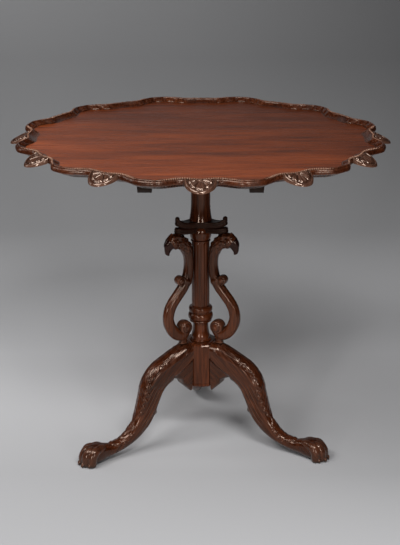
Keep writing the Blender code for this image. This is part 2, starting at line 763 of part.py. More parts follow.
def upper_shaft():
    """Plain shaft that flares onto the capital, with a wedged tenon through the block."""
    shoulder = BLOCK_BOTTOM - SEAT_GAP
    foot = CAPITAL_TOP + SEAT_GAP
    profile = [(BLOCK_TENON_RADIUS, BLOCK_TOP), (BLOCK_TENON_RADIUS, shoulder), (SHAFT_RADIUS, shoulder)]
    for i in range(FLARE_STEPS + 1):
        share = i / FLARE_STEPS
        radius = SHAFT_RADIUS + (SHAFT_FOOT_RADIUS - SHAFT_RADIUS) * share ** 2
        profile.append((radius, foot + SHAFT_FOOT_FLARE * (1 - share)))
    profile.append((PILLAR_TENON_RADIUS, foot))
    profile.append((PILLAR_TENON_RADIUS, LOWER_SHAFT_TOP - PILLAR_TENON_DEPTH))
    shaft = add("upper_shaft", turned(profile), "pillar")
    combine(shaft, wedge_shape(SEAT_GAP, 4 * BLOCK_TENON_RADIUS))
    add("block_wedge", wedge_shape(0, WEDGE_LENGTH), "hidden_wood")


def horn_taper(off):
    """Share of a horn's reach at an angle off its middle: a blunt tip, then a hollow side."""
    blunt = min(1, off / HORN_HALF_WIDTH)
    beyond = max(0, off - HORN_HALF_WIDTH) / (LEG_SPACING / 2 - HORN_HALF_WIDTH)
    return (1 - HORN_TIP_FALL * blunt ** 3) * (1 - beyond) ** 3


def horned_plate(name, bottom, reach, rise):
    """Three-pointed tier of the capital, with hollow sides and tips that sweep up."""
    half = [LEG_SPACING / 2 * (i / HORN_STEPS) ** 1.5 for i in range(HORN_STEPS + 1)]
    offsets = [-offset for offset in reversed(half)] + half[1:-1]
    widest = half[-1] - half[-2]
    hole = (PILLAR_TENON_RADIUS + SEAT_GAP) / math.cos(widest / 2)
    collar = CAPITAL_WAIST_RADIUS - CAPITAL_COLLAR_INSET
    places = [(leg_turn(leg) + offset, offset) for leg in range(LEGS) for offset in offsets]

    def at(angle, radius, z):
        return Vector((radius * math.cos(angle), radius * math.sin(angle), z))

    def ring(share, lift):
        points = []
        for angle, offset in places:
            edge = CAPITAL_WAIST_RADIUS + (reach - CAPITAL_WAIST_RADIUS) * horn_taper(abs(offset))
            radius = collar + (edge - collar) * share
            swept = ((radius - collar) / (reach - collar)) ** HORN_CURL
            points.append(at(angle, radius, bottom + lift * (1 - HORN_THINNING * swept) + rise * swept))
        return points

    def bore_ring(lift):
        return [at(angle, hole, bottom + lift) for angle, _ in places]

    rings = [bore_ring(0)] + [ring(share, 0) for share in HORN_ROWS]
    rings += [ring(share, CAPITAL_TIER) for share in reversed(HORN_ROWS)] + [bore_ring(CAPITAL_TIER)]
    add(name, loft(rings, wrap=True), "carving")


def bead(core, radius, high, low):
    """Half-round moulding that stands out from a core, from its upper edge to its lower one."""
    angles = [math.pi * i / BEAD_STEPS for i in range(BEAD_STEPS + 1)]
    middle = (high + low) / 2
    half = (high - low) / 2
    return [(core + (radius - core) * math.sin(a), middle + half * math.cos(a)) for a in angles]


def reed_ring(height, sides):
    """Ring of the reeded shaft, with a groove between each two reeds."""
    points = []
    for i, point in enumerate(circle(1, 0, sides)):
        radius = REED_RADIUS - REED_DEPTH * (1 - REED_WAVE[i % len(REED_WAVE)])
        points.append(point * radius + Vector((0, 0, height)))
    return points


def lower_shaft():
    """Knop, reeded shaft, rings and vase, turned in one with the tenon for the hub."""
    top = LOWER_SHAFT_TOP
    knop_foot = top - KNOP_HEIGHT
    ring_middle = RING_TOP - UPPER_RING_HEIGHT
    ring_foot = ring_middle - LOWER_RING_HEIGHT
    vase_foot = LOWER_SHAFT_FOOT + VASE_FOOT_HEIGHT
    upper = bead(KNOP_NECK_RADIUS, KNOP_RADIUS, top, knop_foot)
    lower = bead(RING_CORE_RADIUS, UPPER_RING_RADIUS, RING_TOP, ring_middle)
    lower += bead(RING_CORE_RADIUS, LOWER_RING_RADIUS, ring_middle, ring_foot)[1:]
    lower.append((RING_CORE_RADIUS, VASE_TOP))
    for i in range(VASE_STEPS + 1):
        share = i / VASE_STEPS
        radius = VASE_NECK_RADIUS + (VASE_RADIUS - VASE_NECK_RADIUS) * share ** VASE_FLARE
        lower.append((radius, VASE_TOP + (vase_foot - VASE_TOP) * share))
    lower += [
        (VASE_FOOT_RADIUS, vase_foot),
        (VASE_FOOT_RADIUS, LOWER_SHAFT_FOOT),
        (HUB_TENON_RADIUS, LOWER_SHAFT_FOOT),
        (HUB_TENON_RADIUS, LOWER_SHAFT_FOOT - HUB_TENON_DEPTH),
    ]
    sides = REEDS * len(REED_WAVE)
    body = [circle(radius, height, sides) for radius, height in upper]
    body += [reed_ring(knop_foot - REED_FADE, sides), reed_ring(RING_TOP + REED_FADE, sides)]
    body += [circle(radius, height, sides) for radius, height in lower]
    shaft = add("lower_shaft", loft(body), "pillar")
    depth = PILLAR_TENON_DEPTH + SEAT_GAP
    combine(shaft, bore((0, 0, top - depth), (0, 0, top + depth), PILLAR_TENON_RADIUS, SEAT_GAP))
    holes = bmesh.new()
    for leg in range(LEGS):
        turn = Matrix.Rotation(leg_turn(leg), 3, "Z")
        start, end = neck_dowel(SEAT_GAP)
        radius = BRACKET_DOWEL_RADIUS + SEAT_GAP
        skin(holes, plain_rod_rings(turn @ start, turn @ end, radius, DOWEL_SIDES))
    combine(shaft, holes)


def leg_hub():
    """Base of the pillar: flat panels between the legs and a dovetail socket behind each leg."""
    def outline(inset):
        points = []
        for leg in range(LEGS):
            turn = Matrix.Rotation(leg_turn(leg) + LEG_SPACING / 2, 3, "Z")
            for side in (-1, 1):
                points.append(turn @ Vector((HUB_PANEL_OUT - inset, side * (HUB_PANEL_WIDTH / 2 - inset), 0)))
        return points

    levels = ((HUB_EDGE, HUB_BOTTOM), (0, HUB_BOTTOM + HUB_EDGE), (0, HUB_TOP - HUB_EDGE), (HUB_EDGE, HUB_TOP))
    rings = [[point + Vector((0, 0, z)) for point in outline(inset)] for inset, z in levels]
    hub = add("leg_hub", loft(rings), "pillar")
    depth = HUB_TENON_DEPTH + SEAT_GAP
    combine(hub, bore((0, 0, HUB_TOP - depth), (0, 0, HUB_TOP + depth), HUB_TENON_RADIUS, SEAT_GAP))
    for leg in range(LEGS):
        combine(hub, dovetail(SEAT_GAP), turn=leg_turn(leg))


def dovetail(play):
    """Tongue on the root of a leg, or with play the socket that it slides up into."""
    inner = HUB_FACE - TONGUE_LENGTH - play
    outer = HUB_FACE + TONGUE_LENGTH / 2
    narrow = TONGUE_NECK / 2 + play
    wide = TONGUE_END / 2 + play
    outline = (
        (inner, -wide),
        (HUB_FACE, -narrow),
        (outer, -narrow),
        (outer, narrow),
        (HUB_FACE, narrow),
        (inner, wide),
    )
    low = HUB_BOTTOM - TONGUE_LENGTH if play else HUB_BOTTOM + SEAT_GAP
    return prism(outline, low, TONGUE_TOP + play)


def leg_section(out, along, low, high, width, cleft=0, dome=LEG_DOME):
    """Ring across the leg: a domed top, over a rounded belly."""
    middle = (low + high) / 2
    half = (high - low) / 2
    fall = min(dome * width, DOME_LIMIT * half)
    ring = []
    for i in range(CROWN_STEPS + 1):
        side = 2 * i / CROWN_STEPS - 1
        crown = high - fall * (1 - (1 - abs(side) ** DOME_SQUARENESS) ** (1 / DOME_SQUARENESS))
        valley = (1 + math.cos(TOES * math.pi * side)) / 2 * (1 - side ** 4)
        ring.append((side * width / 2, low + (crown - low) * (1 - cleft * valley)))
    for side, lift in BELLY:
        ring.append((side * width / 2, middle + half * lift))
    across = Vector((-along.z, 0, along.x))
    base = Vector((out, 0, 0))
    return [base + across * z + Vector((0, y, 0)) for y, z in ring]


def direction_at(run, index):
    """Direction of a run of (distance out, height, ...) stations at one of them."""
    before = run[max(index - 1, 0)]
    after = run[min(index + 1, len(run) - 1)]
    return Vector((after[0] - before[0], 0, after[1] - before[1])).normalized()


def leg_rings():
    """Rings from the shoulder at the hub to the tips of the toes."""
    level = Vector((1, 0, 0))
    step = LEG_STEP / 4
    shoulder = HUB_TOP - LEG_SHOULDER_FALL
    root = HUB_FACE + SEAT_GAP
    seat_end = LOWER_RING_RADIUS + FOOT_DOWEL_OFFSET + 2 * BRACKET_DOWEL_RADIUS
    share = (seat_end - root) / (LEG_BRACKET_OUT - root)
    seat_bottom = LEG_ROOT_BOTTOM + (LEG_BRACKET_BOTTOM - LEG_ROOT_BOTTOM) * share
    seat_width = LEG_ROOT_WIDTH + (LEG_BRACKET_WIDTH - LEG_ROOT_WIDTH) * share
    block = (
        (root, LEG_ROOT_BOTTOM, HUB_TOP, LEG_ROOT_WIDTH, SEAT_DOME),
        (seat_end, seat_bottom, HUB_TOP, seat_width, SEAT_DOME),
        (LEG_BRACKET_OUT, LEG_BRACKET_BOTTOM, shoulder, LEG_BRACKET_WIDTH, SHOULDER_DOME),
        (LEG_BRACKET_OUT + step, LEG_BRACKET_BOTTOM + LEG_STEP, shoulder - step / 2,
         LEG_BRACKET_WIDTH, SHOULDER_DOME),
    )
    rings = [leg_section(out, level, low, high, width, 0, dome) for out, low, high, width, dome in block]
    run = spline(LEG_STATIONS, LEG_STEPS)
    for i, (out, height, depth, width) in enumerate(run):
        ring = leg_section(0, direction_at(run, i), -depth / 2, depth / 2, width)
        rings.append([point + Vector((out, 0, height)) for point in ring])
    for back, low, high, width, cleft in PAW_STATIONS:
        rings.append(leg_section(FOOT_REACH - back, level, low, high, width, cleft))
    return rings


def legs():
    """Cabriole legs with a dovetail tongue at the hub and a paw on the floor."""
    for leg in range(LEGS):
        turn = leg_turn(leg)
        piece = add(f"leg_{leg + 1}", loft(leg_rings()), "carving", turn=turn)
        combine(piece, dovetail(0), "UNION", turn)
        start, end = foot_dowel(SEAT_GAP)
        combine(piece, rod(start, end, BRACKET_DOWEL_RADIUS + SEAT_GAP, DOWEL_SIDES), turn=turn)


def bracket_stations():
    """Distance out, height and half width along the bracket, from the eye of the scroll to the beak."""
    low = [(LOWER_RING_RADIUS + SEAT_GAP + offset, share, half) for offset, share, half in VOLUTE_STATIONS]
    high = [(REED_RADIUS + SEAT_GAP + offset, share, half) for offset, share, half in NECK_STATIONS]
    return [(out, BRACKET_SEAT + BRACKET_RISE * share, half) for out, share, half in low + high]


def neck_dowel(play):
    z = BRACKET_SEAT + BRACKET_RISE * NECK_DOWEL_SHARE
    half = BRACKET_DOWEL_LENGTH / 2 + play
    return Vector((REED_RADIUS - half, 0, z)), Vector((REED_RADIUS + half, 0, z))


def foot_dowel(play):
    x = LOWER_RING_RADIUS + FOOT_DOWEL_OFFSET
    half = BRACKET_DOWEL_LENGTH / 2 + play
    return Vector((x, 0, BRACKET_SEAT - half)), Vector((x, 0, BRACKET_SEAT + half))


def bracket_rings():
    """Rings along the strap, which thins at the scroll's eye and at the beak."""
    run = bracket_stations()
    section = STRAP_SECTION + tuple((-across, -side) for across, side in STRAP_SECTION)
    rings = []
    for i, (out, height, width) in enumerate(run):
        along = direction_at(run, i)
        normal = Vector((-along.z, 0, along.x))
        middle = Vector((out, 0, height))
        share = min(1, width / STRAP_FULL_WIDTH)
        thin = STRAP_LEAST_THICKNESS + (1 - STRAP_LEAST_THICKNESS) * share
        half = BRACKET_THICKNESS / 2 * thin
        ring = [normal * width * across + Vector((0, half * side, 0)) for across, side in section]
        rings.append([middle + point for point in ring])
    return rings


def scroll(x, share, radius):
    """Boss across the bracket at the middle of a scroll."""
    z = BRACKET_SEAT + BRACKET_RISE * share
    half = BRACKET_THICKNESS / 2 + SCROLL_PROUD
    return rod((x, -half, z), (x, half, z), radius, SCROLL_SIDES)


def foot_trim():
    """Tool that cuts the bottom of the scroll flat, where it stands on the leg."""
    reach = LOWER_RING_RADIUS + FOOT_DOWEL_OFFSET
    low = (0, -BRACKET_THICKNESS, BRACKET_SEAT - BRACKET_THICKNESS)
    high = (2 * reach, BRACKET_THICKNESS, BRACKET_SEAT)
    return box(low, high)


def brackets():
    """Eagle-headed scrolls between the legs and the capital, each pinned to the pillar and to its leg."""
    eye_out = LOWER_RING_RADIUS + SEAT_GAP + EYE_OFFSET
    knuckle_out = REED_RADIUS + SEAT_GAP + KNUCKLE_OFFSET
    for leg in range(LEGS):
        turn = leg_turn(leg)
        piece = add(f"eagle_bracket_{leg + 1}", loft(bracket_rings()), "carving", turn=turn)
        combine(piece, scroll(eye_out, EYE_SHARE, EYE_RADIUS), "UNION", turn)
        combine(piece, scroll(knuckle_out, KNUCKLE_SHARE, KNUCKLE_RADIUS), "UNION", turn)
        combine(piece, foot_trim(), turn=turn)
        for name, ends in (("neck", neck_dowel), ("foot", foot_dowel)):
            combine(piece, rod(*ends(SEAT_GAP), BRACKET_DOWEL_RADIUS + SEAT_GAP, DOWEL_SIDES), turn=turn)
            dowel = rod(*ends(0), BRACKET_DOWEL_RADIUS, DOWEL_SIDES)
            add(f"bracket_{name}_dowel_{leg + 1}", dowel, "hidden_wood", turn=turn)


def main():
    for old in list(bpy.data.objects):
        bpy.data.objects.remove(old, do_unlink=True)
    tilt = axis_empty("tilt_axis", (0, PIVOT_Y, PIVOT_Z))
    slide = axis_empty("bolt_axis", (0, BOLT_TIP, BOLT_Z))
    top_board(tilt)
    for index in range(SCALLOPS):
        shell(index, tilt)
    bearers(tilt)
    catch(tilt, slide)
    pillar_block()
    pivot_dowels()
    upper_shaft()
    horned_plate("capital_upper_tier", UPPER_TIER_BOTTOM, UPPER_HORN_REACH, UPPER_HORN_RISE)
    horned_plate("capital_lower_tier", CAPITAL_BOTTOM, LOWER_HORN_REACH, LOWER_HORN_RISE)
    lower_shaft()
    leg_hub()
    legs()
    brackets()


main()
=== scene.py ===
"""Looks of the tilt-top tripod table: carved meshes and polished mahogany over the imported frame.

Metres, in the frame's own axes: +Z up, -Y to the front, the pillar on the Z axis. Radial pieces
are modelled with +X pointing out from the pillar, and their objects are turned about it.
"""

from math import asin, atan2, cos, pi, radians, sin

import bmesh
import bpy
import numpy as np
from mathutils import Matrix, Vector
from numpy.linalg import norm


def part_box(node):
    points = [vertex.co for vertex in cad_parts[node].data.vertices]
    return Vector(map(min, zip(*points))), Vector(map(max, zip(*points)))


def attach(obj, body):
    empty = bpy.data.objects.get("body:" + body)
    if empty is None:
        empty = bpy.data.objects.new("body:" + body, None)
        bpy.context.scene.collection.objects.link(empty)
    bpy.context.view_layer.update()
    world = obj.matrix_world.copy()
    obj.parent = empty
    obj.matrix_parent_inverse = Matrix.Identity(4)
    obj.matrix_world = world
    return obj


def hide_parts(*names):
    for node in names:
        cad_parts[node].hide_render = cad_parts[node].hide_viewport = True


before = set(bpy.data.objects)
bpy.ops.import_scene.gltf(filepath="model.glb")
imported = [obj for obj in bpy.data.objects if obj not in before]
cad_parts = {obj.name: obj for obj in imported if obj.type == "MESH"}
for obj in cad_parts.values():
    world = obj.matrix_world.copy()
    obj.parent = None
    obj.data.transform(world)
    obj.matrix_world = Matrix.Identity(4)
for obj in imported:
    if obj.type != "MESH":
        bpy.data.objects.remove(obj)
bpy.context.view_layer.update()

# Clearance between pieces that seat on each other
GAP = 0.0003
MM = 0.001
TINY = 1e-12

# Camera, in the photograph's frame of 400 by 545 pixels
PHOTO_HEIGHT = 545
SENSOR = 36.0
FOCAL_PIXELS = 1399.8
EYE = (0.0, -3.0, 1.4309)
EYE_PITCH = 0.3307
SHIFT_PIXELS = -0.6188

# Places read from the frame
TOP_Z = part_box("top_board")[1].z
UNDERSIDE_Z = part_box("top_board")[0].z
CAPITAL_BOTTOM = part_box("lower_shaft")[1].z + GAP
HUB_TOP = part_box("leg_hub")[1].z
HUB_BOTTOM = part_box("leg_hub")[0].z
BLOCK_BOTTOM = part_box("pillar_block")[0].z

# The tripod's spread
LEGS = 3
LEG_SPACING = 2 * pi / LEGS
TRIPOD_TURN = radians(3.0)


def leg_turn(index):
    return TRIPOD_TURN + LEG_SPACING * (index - 1) - pi / 2 + LEG_SPACING / 2


def smooth(share):
    share = np.clip(share, 0.0, 1.0)
    return share * share * (3 - 2 * share)


def between(value, start, end, rise, fall):
    """1 between two limits, with soft steps of the given lengths inside them."""
    return smooth((value - start) / rise) * smooth((end - value) / fall)


def hump(value, middle, width):
    """Smooth bump of height 1 round a middle."""
    return np.exp(-((value - middle) / width) ** 2)


def dome(share):
    """Half-round swell of height 1, from -1 to 1."""
    return np.sqrt(np.maximum(0, 1 - share ** 2))


def squared(wave, power):
    """Sine or cosine with its swings drawn out, which squares off a round outline."""
    return np.sign(wave) * np.abs(wave) ** power


def run_length(steps):
    """Length from the start at each point of a run, from the lengths of its steps."""
    return np.concatenate([[0], np.cumsum(steps)])


def headings(line):
    """Unit directions along a line of points."""
    along = np.gradient(line, axis=0)
    return along / norm(along, axis=1, keepdims=True)


def mixed(first, last, shares):
    """Rings between two, at shares of the way."""
    return [first + (last - first) * share for share in shares]


def full_turn(sides):
    return np.arange(sides) * 2 * pi / sides


def spin(x, y, turn):
    """Place turned about Z."""
    c, s = cos(turn), sin(turn)
    return x * c - y * s, x * s + y * c


def ring(radius, angles, z):
    """Points round Z, with a radius and height for all of them or for each."""
    return np.stack([radius * np.cos(angles), radius * np.sin(angles), z + 0 * angles], 1)


def round_grid(profile, sides):
    """Rings round Z from (radius, height) points."""
    return np.array([ring(radius, full_turn(sides), z) for radius, z in profile])


def arc(middle, radii, start, end, steps):
    """Points of an elliptic arc in (radius, height), between two angles in degrees."""
    angles = np.radians(np.linspace(start, end, steps + 1))
    (x, z), (wide, high) = middle, radii
    return [(x + wide * cos(a), z + high * sin(a)) for a in angles]


def bead(core, radius, high, low, steps=12):
    """Half-round moulding from its upper edge to its lower one."""
    return arc((core, (high + low) / 2), (radius - core, (high - low) / 2), 90, -90, steps)


def spline(stations, steps):
    """Smooth run of stations, or of whole rings, through the given ones."""
    points = np.array(stations, float)
    before, after = 2 * points[0] - points[1], 2 * points[-1] - points[-2]
    points = np.concatenate([[before], points, [after]])
    run = []
    for a, b, c, d in zip(points, points[1:], points[2:], points[3:]):
        for t in np.arange(steps) / steps:
            bend = (2 * a - 5 * b + 4 * c - d) * t ** 2 + (3 * b - a - 3 * c + d) * t ** 3
            run.append((2 * b + (c - a) * t + bend) / 2)
    run.append(points[-2])
    return np.array(run)


def raised(grid, height):
    """Grid of rings, moved out along its normals by a height at each point."""
    along = np.gradient(grid, axis=0)
    around = np.roll(grid, -1, axis=1) - np.roll(grid, 1, axis=1)
    out = np.cross(around, along)
    out /= np.maximum(norm(out, axis=2, keepdims=True), TINY)
    from_middle = grid - grid.mean(axis=1, keepdims=True)
    out = out * np.sign((out * from_middle).sum())
    return grid + out * height[..., None]


class Shape:
    """Points and faces of one piece, gathered from closed skins."""

    def __init__(self, *grids):
        self.verts = []
        self.faces = []
        for grid in grids:
            self.skin(grid)

    def skin(self, grid, wrap_rows=False):
        """Adds a closed skin over a grid of rings: a ring is a row, and its points run round."""
        grid = np.asarray(grid, float)
        rows, count, _ = grid.shape
        first = len(self.verts)
        self.verts += [tuple(point) for point in grid.reshape(-1, 3)]
        around = [(j, (j + 1) % count) for j in range(count)]
        for i in range(rows if wrap_rows else rows - 1):
            near, far = first + i * count, first + (i + 1) % rows * count
            self.faces += [(near + j, near + k, far + k, far + j) for j, k in around]
        if wrap_rows:
            return
        for start, end in ((first, grid[0]), (first + (rows - 1) * count, grid[-1])):
            middle = len(self.verts)
            self.verts.append(tuple(end.mean(axis=0)))
            self.faces += [(start + j, start + k, middle) for j, k in around]

    def mesh(self, name, material, sharp=40):
        data = bpy.data.meshes.new(name)
        data.from_pydata(self.verts, [], self.faces)
        work = bmesh.new()
        work.from_mesh(data)
        bmesh.ops.recalc_face_normals(work, faces=work.faces)
        work.to_mesh(data)
        work.free()
        data.shade_smooth()
        data.set_sharp_from_angle(angle=radians(sharp))
        data.materials.append(material)
        return data


def add_object(name, data):
    made = bpy.data.objects.new(name, data)
    bpy.context.scene.collection.objects.link(made)
    return made


def piece(name, data, body, nodes, turn=0.0):
    """Object over a mesh, turned about the pillar, that stands for CAD nodes on their body."""
    made = add_object(name, data)
    made.rotation_euler.z = turn
    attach(made, body)
    if nodes:
        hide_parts(*nodes)


def on_each_leg(kind, data):
    """Carved pieces over one mesh, each turned to its leg."""
    for leg in range(LEGS):
        name = f"{kind}_{leg + 1}"
        piece(f"{name}_carved", data, "base", [name], leg_turn(leg))


# Materials


def plug(socket, value):
    """Links an input to a socket, or sets its value."""
    if isinstance(value, bpy.types.NodeSocket):
        socket.id_data.links.new(value, socket)
    else:
        socket.default_value = value


def fill(node, **values):
    """Fills a node's settings and inputs by name."""
    for key, value in values.items():
        if key in node.inputs:
            plug(node.inputs[key], value)
        else:
            setattr(node, key, value)


def add_node(tree, kind, output=0, **values):
    """Output of a new node, whose settings and inputs are given by name."""
    made = tree.nodes.new(f"ShaderNode{kind}")
    fill(made, **values)
    return made.outputs[output]


def new_material(name, **values):
    """Material with a Principled shader, whose inputs are given by name."""
    material = bpy.data.materials.new(name)
    material.use_nodes = True
    tree = material.node_tree
    shader = tree.nodes["Principled BSDF"]
    fill(shader, **values)
    return material, tree, shader


def streaks(tree, turn, stretch, scale, detail, distortion=0.0):
    """Noise drawn out along the grain, which lies along X before the turn."""
    place = add_node(tree, "TexCoord", "Object")
    thin = (1, 1 / stretch, 1 / stretch)
    laid = add_node(tree, "Mapping", vector_type="TEXTURE", Vector=place, Rotation=turn, Scale=thin)
    noise = add_node(tree, "TexNoise", "Fac", Vector=laid, Scale=scale, Detail=detail)
    fill(noise.node, Roughness=NOISE_ROUGHNESS, Distortion=distortion)
    return noise


def ramp(source, *stops):
    """Colours over a value, from (position, colour) stops."""
    made = add_node(source.id_data, "ValToRGB", Fac=source)
    elements = made.node.color_ramp.elements
    while len(elements) < len(stops):
        elements.new(0.5)
    for element, (position, colour) in zip(elements, stops):
        element.position = position
        element.color = (*colour, 1)
    return made


def grey(value):
    return (value, value, value)


def blend(kind, factor, first, second):
    """Mixes a colour with a second one, which is a value or a socket, and so is the factor."""
    made = add_node(first.id_data, "Mix", 2, data_type="RGBA", blend_type=kind)
    for index, value in ((0, factor), (6, first), (7, second)):
        plug(made.node.inputs[index], value)
    return made


def ranged(source, low, high, shape="LINEAR"):
    """Share, 0 to 1, of a value between two limits."""
    limits = {"From Min": low, "From Max": high}
    return add_node(source.id_data, "MapRange", interpolation_type=shape, Value=source, **limits)


def mahogany(
    name, dark, middle, light, turn=(0, 0, 0), rough=0.3, gloss=0.3, long=1,
    carved=False, shaded_to_back=False,
):
    """Polished mahogany: ribbon figure, fibres, pores; painted shade in carved hollows and, if
    asked, towards the back; edges lighter by wear and painted highlight.
    """
    material, tree, shader = new_material(name)
    figure = streaks(tree, turn, stretch=6, scale=3.2, detail=4, distortion=0.5)
    fibres = streaks(tree, turn, stretch=16 * long, scale=14 / long, detail=9, distortion=0.2)
    pores = streaks(tree, turn, stretch=22, scale=70, detail=4)
    tone = blend("MIX", FIBRE_SHARE, figure, fibres)
    colour = ramp(tone, *zip(TONES, (dark, middle, light)))
    colour = blend("MULTIPLY", PORE_SHARE, colour, ramp(pores, *PORES))
    # Painted shade: darker towards the back right of the board
    if shaded_to_back:
        place = add_node(tree, "TexCoord", "Object")
        away = add_node(tree, "VectorMath", "Value", operation="DOT_PRODUCT", Vector=place)
        plug(away.node.inputs[1], SHADE_TOWARD_BACK)
        shade = ramp(ranged(away, -BACK_SHADE_REACH, BACK_SHADE_REACH), *BACK_SHADE_RAMP)
        colour = blend("MULTIPLY", 1.0, colour, shade)
    if carved:
        # Painted shade: colour darkened in the carved hollows, where ambient occlusion finds shade
        hollow = add_node(tree, "AmbientOcclusion", "AO", samples=6, Distance=HOLLOW_SHADE_REACH)
        colour = blend("MULTIPLY", HOLLOW_SHADE_SHARE, colour, ramp(hollow, *HOLLOW_SHADE))
        # Sharp edges lighter: partly wear, partly painted highlight
        edges = add_node(tree, "NewGeometry", "Pointiness")
        colour = blend("ADD", 1.0, colour, ramp(edges, *EDGE_WEAR_AND_HIGHLIGHT))
    shine = ramp(fibres, (0.3, grey(rough - SMOOTHER)), (0.7, grey(rough + ROUGHER)))
    bump = add_node(tree, "Bump", Height=pores, Strength=0.12, Distance=0.0004)
    fill(shader, **{"Base Color": colour, "Specular IOR Level": gloss, "Specular Tint": POLISH})
    fill(shader, Roughness=shine, Normal=bump)
    return material


def metal(name, dark, light, rough):
    """Handled metal: a tarnish that comes and goes, with fine scratches."""
    material, tree, shader = new_material(name, Metallic=1.0)
    tarnish = streaks(tree, (0, 0, 0), stretch=1, scale=60, detail=5, distortion=0.4)
    scratches = streaks(tree, (0, 0, 0.3), stretch=18, scale=160, detail=3)
    colour = ramp(tarnish, (0.35, dark), (0.65, light))
    shine = ramp(tarnish, (0.35, grey(rough + 0.18)), (0.65, grey(rough - 0.06)))
    bump = add_node(tree, "Bump", Height=scratches, Strength=0.15, Distance=0.0002)
    fill(shader, **{"Base Color": colour}, Roughness=shine, Normal=bump)
    return material


NOISE_ROUGHNESS = 0.6
# Amber polish
POLISH = (1.0, 0.76, 0.62, 1)
SMOOTHER = 0.06
ROUGHER = 0.08
FIBRE_SHARE = 0.55
TONES = (0.36, 0.5, 0.64)
PORE_SHARE = 0.45
PORES = ((0.36, grey(0.35)), (0.46, grey(1)))
# Painted shade in carved hollows: its share, how far it looks, and its ramp
HOLLOW_SHADE_SHARE = 0.9
HOLLOW_SHADE_REACH = 0.012
HOLLOW_SHADE = ((0.42, grey(0.12)), (0.92, grey(1)))
# Lighter colour on sharp edges: partly wear, partly painted highlight
EDGE_WEAR_AND_HIGHLIGHT = ((0.51, grey(0)), (0.62, (0.1, 0.052, 0.034)))
# Painted shade: the board darkens more and more towards the back right, where less lamp light falls
SHADE_TOWARD_BACK = (-0.75, 0.66, 0)
BACK_SHADE_REACH = 0.4
BACK_SHADE_RAMP = ((0, grey(1.0)), (1, grey(0.38)))
# Ways that the grain runs
UPRIGHT = (0, pi / 2, 0)
ACROSS = (0, 0, pi / 2)
DOWN_LEG = (0, radians(48), 0)
TOP_WOOD = mahogany(
    "top_wood", (0.09, 0.0195, 0.006), (0.212, 0.043, 0.0102), (0.345, 0.074, 0.0175),
    ACROSS, rough=0.28, gloss=0.15, long=2, shaded_to_back=True,
)
RIM_WOOD = mahogany(
    "rim_wood", (0.02, 0.0042, 0.0013), (0.046, 0.0102, 0.0031), (0.088, 0.022, 0.0068),
    rough=0.25, gloss=0.52, carved=True,
)
PILLAR_WOOD = mahogany(
    "pillar_wood", (0.018, 0.0038, 0.0012), (0.06, 0.0138, 0.0043), (0.125, 0.03, 0.0092),
    UPRIGHT, rough=0.15, gloss=0.45,
)
# Painted shade: a near-black copy of the mahogany for the capital, which stands in the shade of the
# top
CAPITAL_SHADED_WOOD = mahogany(
    "capital_shaded_wood", (0.009, 0.0026, 0.0013), (0.019, 0.0054, 0.0026), (0.036, 0.01, 0.0045),
    rough=0.36, gloss=0.16,
)
LEG_WOOD = mahogany(
    "leg_wood", (0.015, 0.0034, 0.0012), (0.046, 0.011, 0.0036), (0.095, 0.024, 0.0076),
    DOWN_LEG, rough=0.18, gloss=0.55, carved=True,
)
SCROLL_WOOD = mahogany(
    "scroll_wood", (0.018, 0.004, 0.0013), (0.058, 0.0138, 0.0043), (0.125, 0.032, 0.01),
    UPRIGHT, rough=0.16, gloss=0.5, carved=True,
)
BEAK_WOOD = mahogany(
    "beak_wood", (0.01, 0.0032, 0.0026), (0.02, 0.006, 0.005), (0.034, 0.01, 0.009), rough=0.16
)
SHELL_WOOD = mahogany(
    "shell_wood", (0.028, 0.0105, 0.006), (0.058, 0.024, 0.0145), (0.108, 0.05, 0.033),
    rough=0.17, gloss=1.0, carved=True,
)
# Beads: a light tan wood, partly worn edges and partly painted highlight
BEAD_WOOD = mahogany(
    "bead_wood", (0.1, 0.045, 0.027), (0.19, 0.094, 0.06), (0.29, 0.158, 0.106),
    rough=0.25, gloss=0.6,
)
# Painted shade: the wood under the top is made near black, as the shade beneath it
UNDER_SHADED_WOOD = mahogany(
    "under_shaded_wood", (0.006, 0.0026, 0.0017), (0.011, 0.0048, 0.0028), (0.019, 0.0085, 0.0052),
    ACROSS, rough=0.55, gloss=0.15,
)
BRASS = metal("brass", (0.3, 0.2, 0.075), (0.62, 0.45, 0.19), 0.3)
STEEL = metal("steel", (0.14, 0.13, 0.125), (0.36, 0.35, 0.33), 0.42)

# Top: a dished board with a scalloped rim, beading and twelve shells

SCALLOPS = 12
SCALLOP_PITCH = 2 * pi / SCALLOPS
NECK_RADIUS = 0.38
BULGE_RADIUS = 0.406
OGEE_START = radians(5.0)
OGEE_END = radians(13.5)
RIM_WIDTH = 0.0235
RIM_RISE = 0.01
FIELD_Z = TOP_Z - RIM_RISE
FIELD_RINGS = (0.03, 0.3, 0.6, 0.85)
RIM_STEPS = 96
COVE_ROWS = 17
COVE_CLIMB = 0.0078
COVE_HOLLOW = 2.2
COVE_TOP_WOOD_ROWS = 1
CREST_ROWS = 9
CREST_INSET = 0.006
CREST_INSET_AT_SHELL = 0.003
CREST_DIP_AT_SHELL = 0.0012
CREST_RADIUS = 0.0022
OVOLO_ROWS = 12
OVOLO_DROP = 0.0095
OVOLO_QUIRK = 0.0004
# Rows under the rim, by their inset from its edge and their drop from the top
RIM_SOFFIT = (
    (0.0024, 0.0132), (0.0052, 0.0144), (0.01, 0.0158), (0.017, 0.018),
    (0.024, TOP_Z - UNDERSIDE_Z),
)
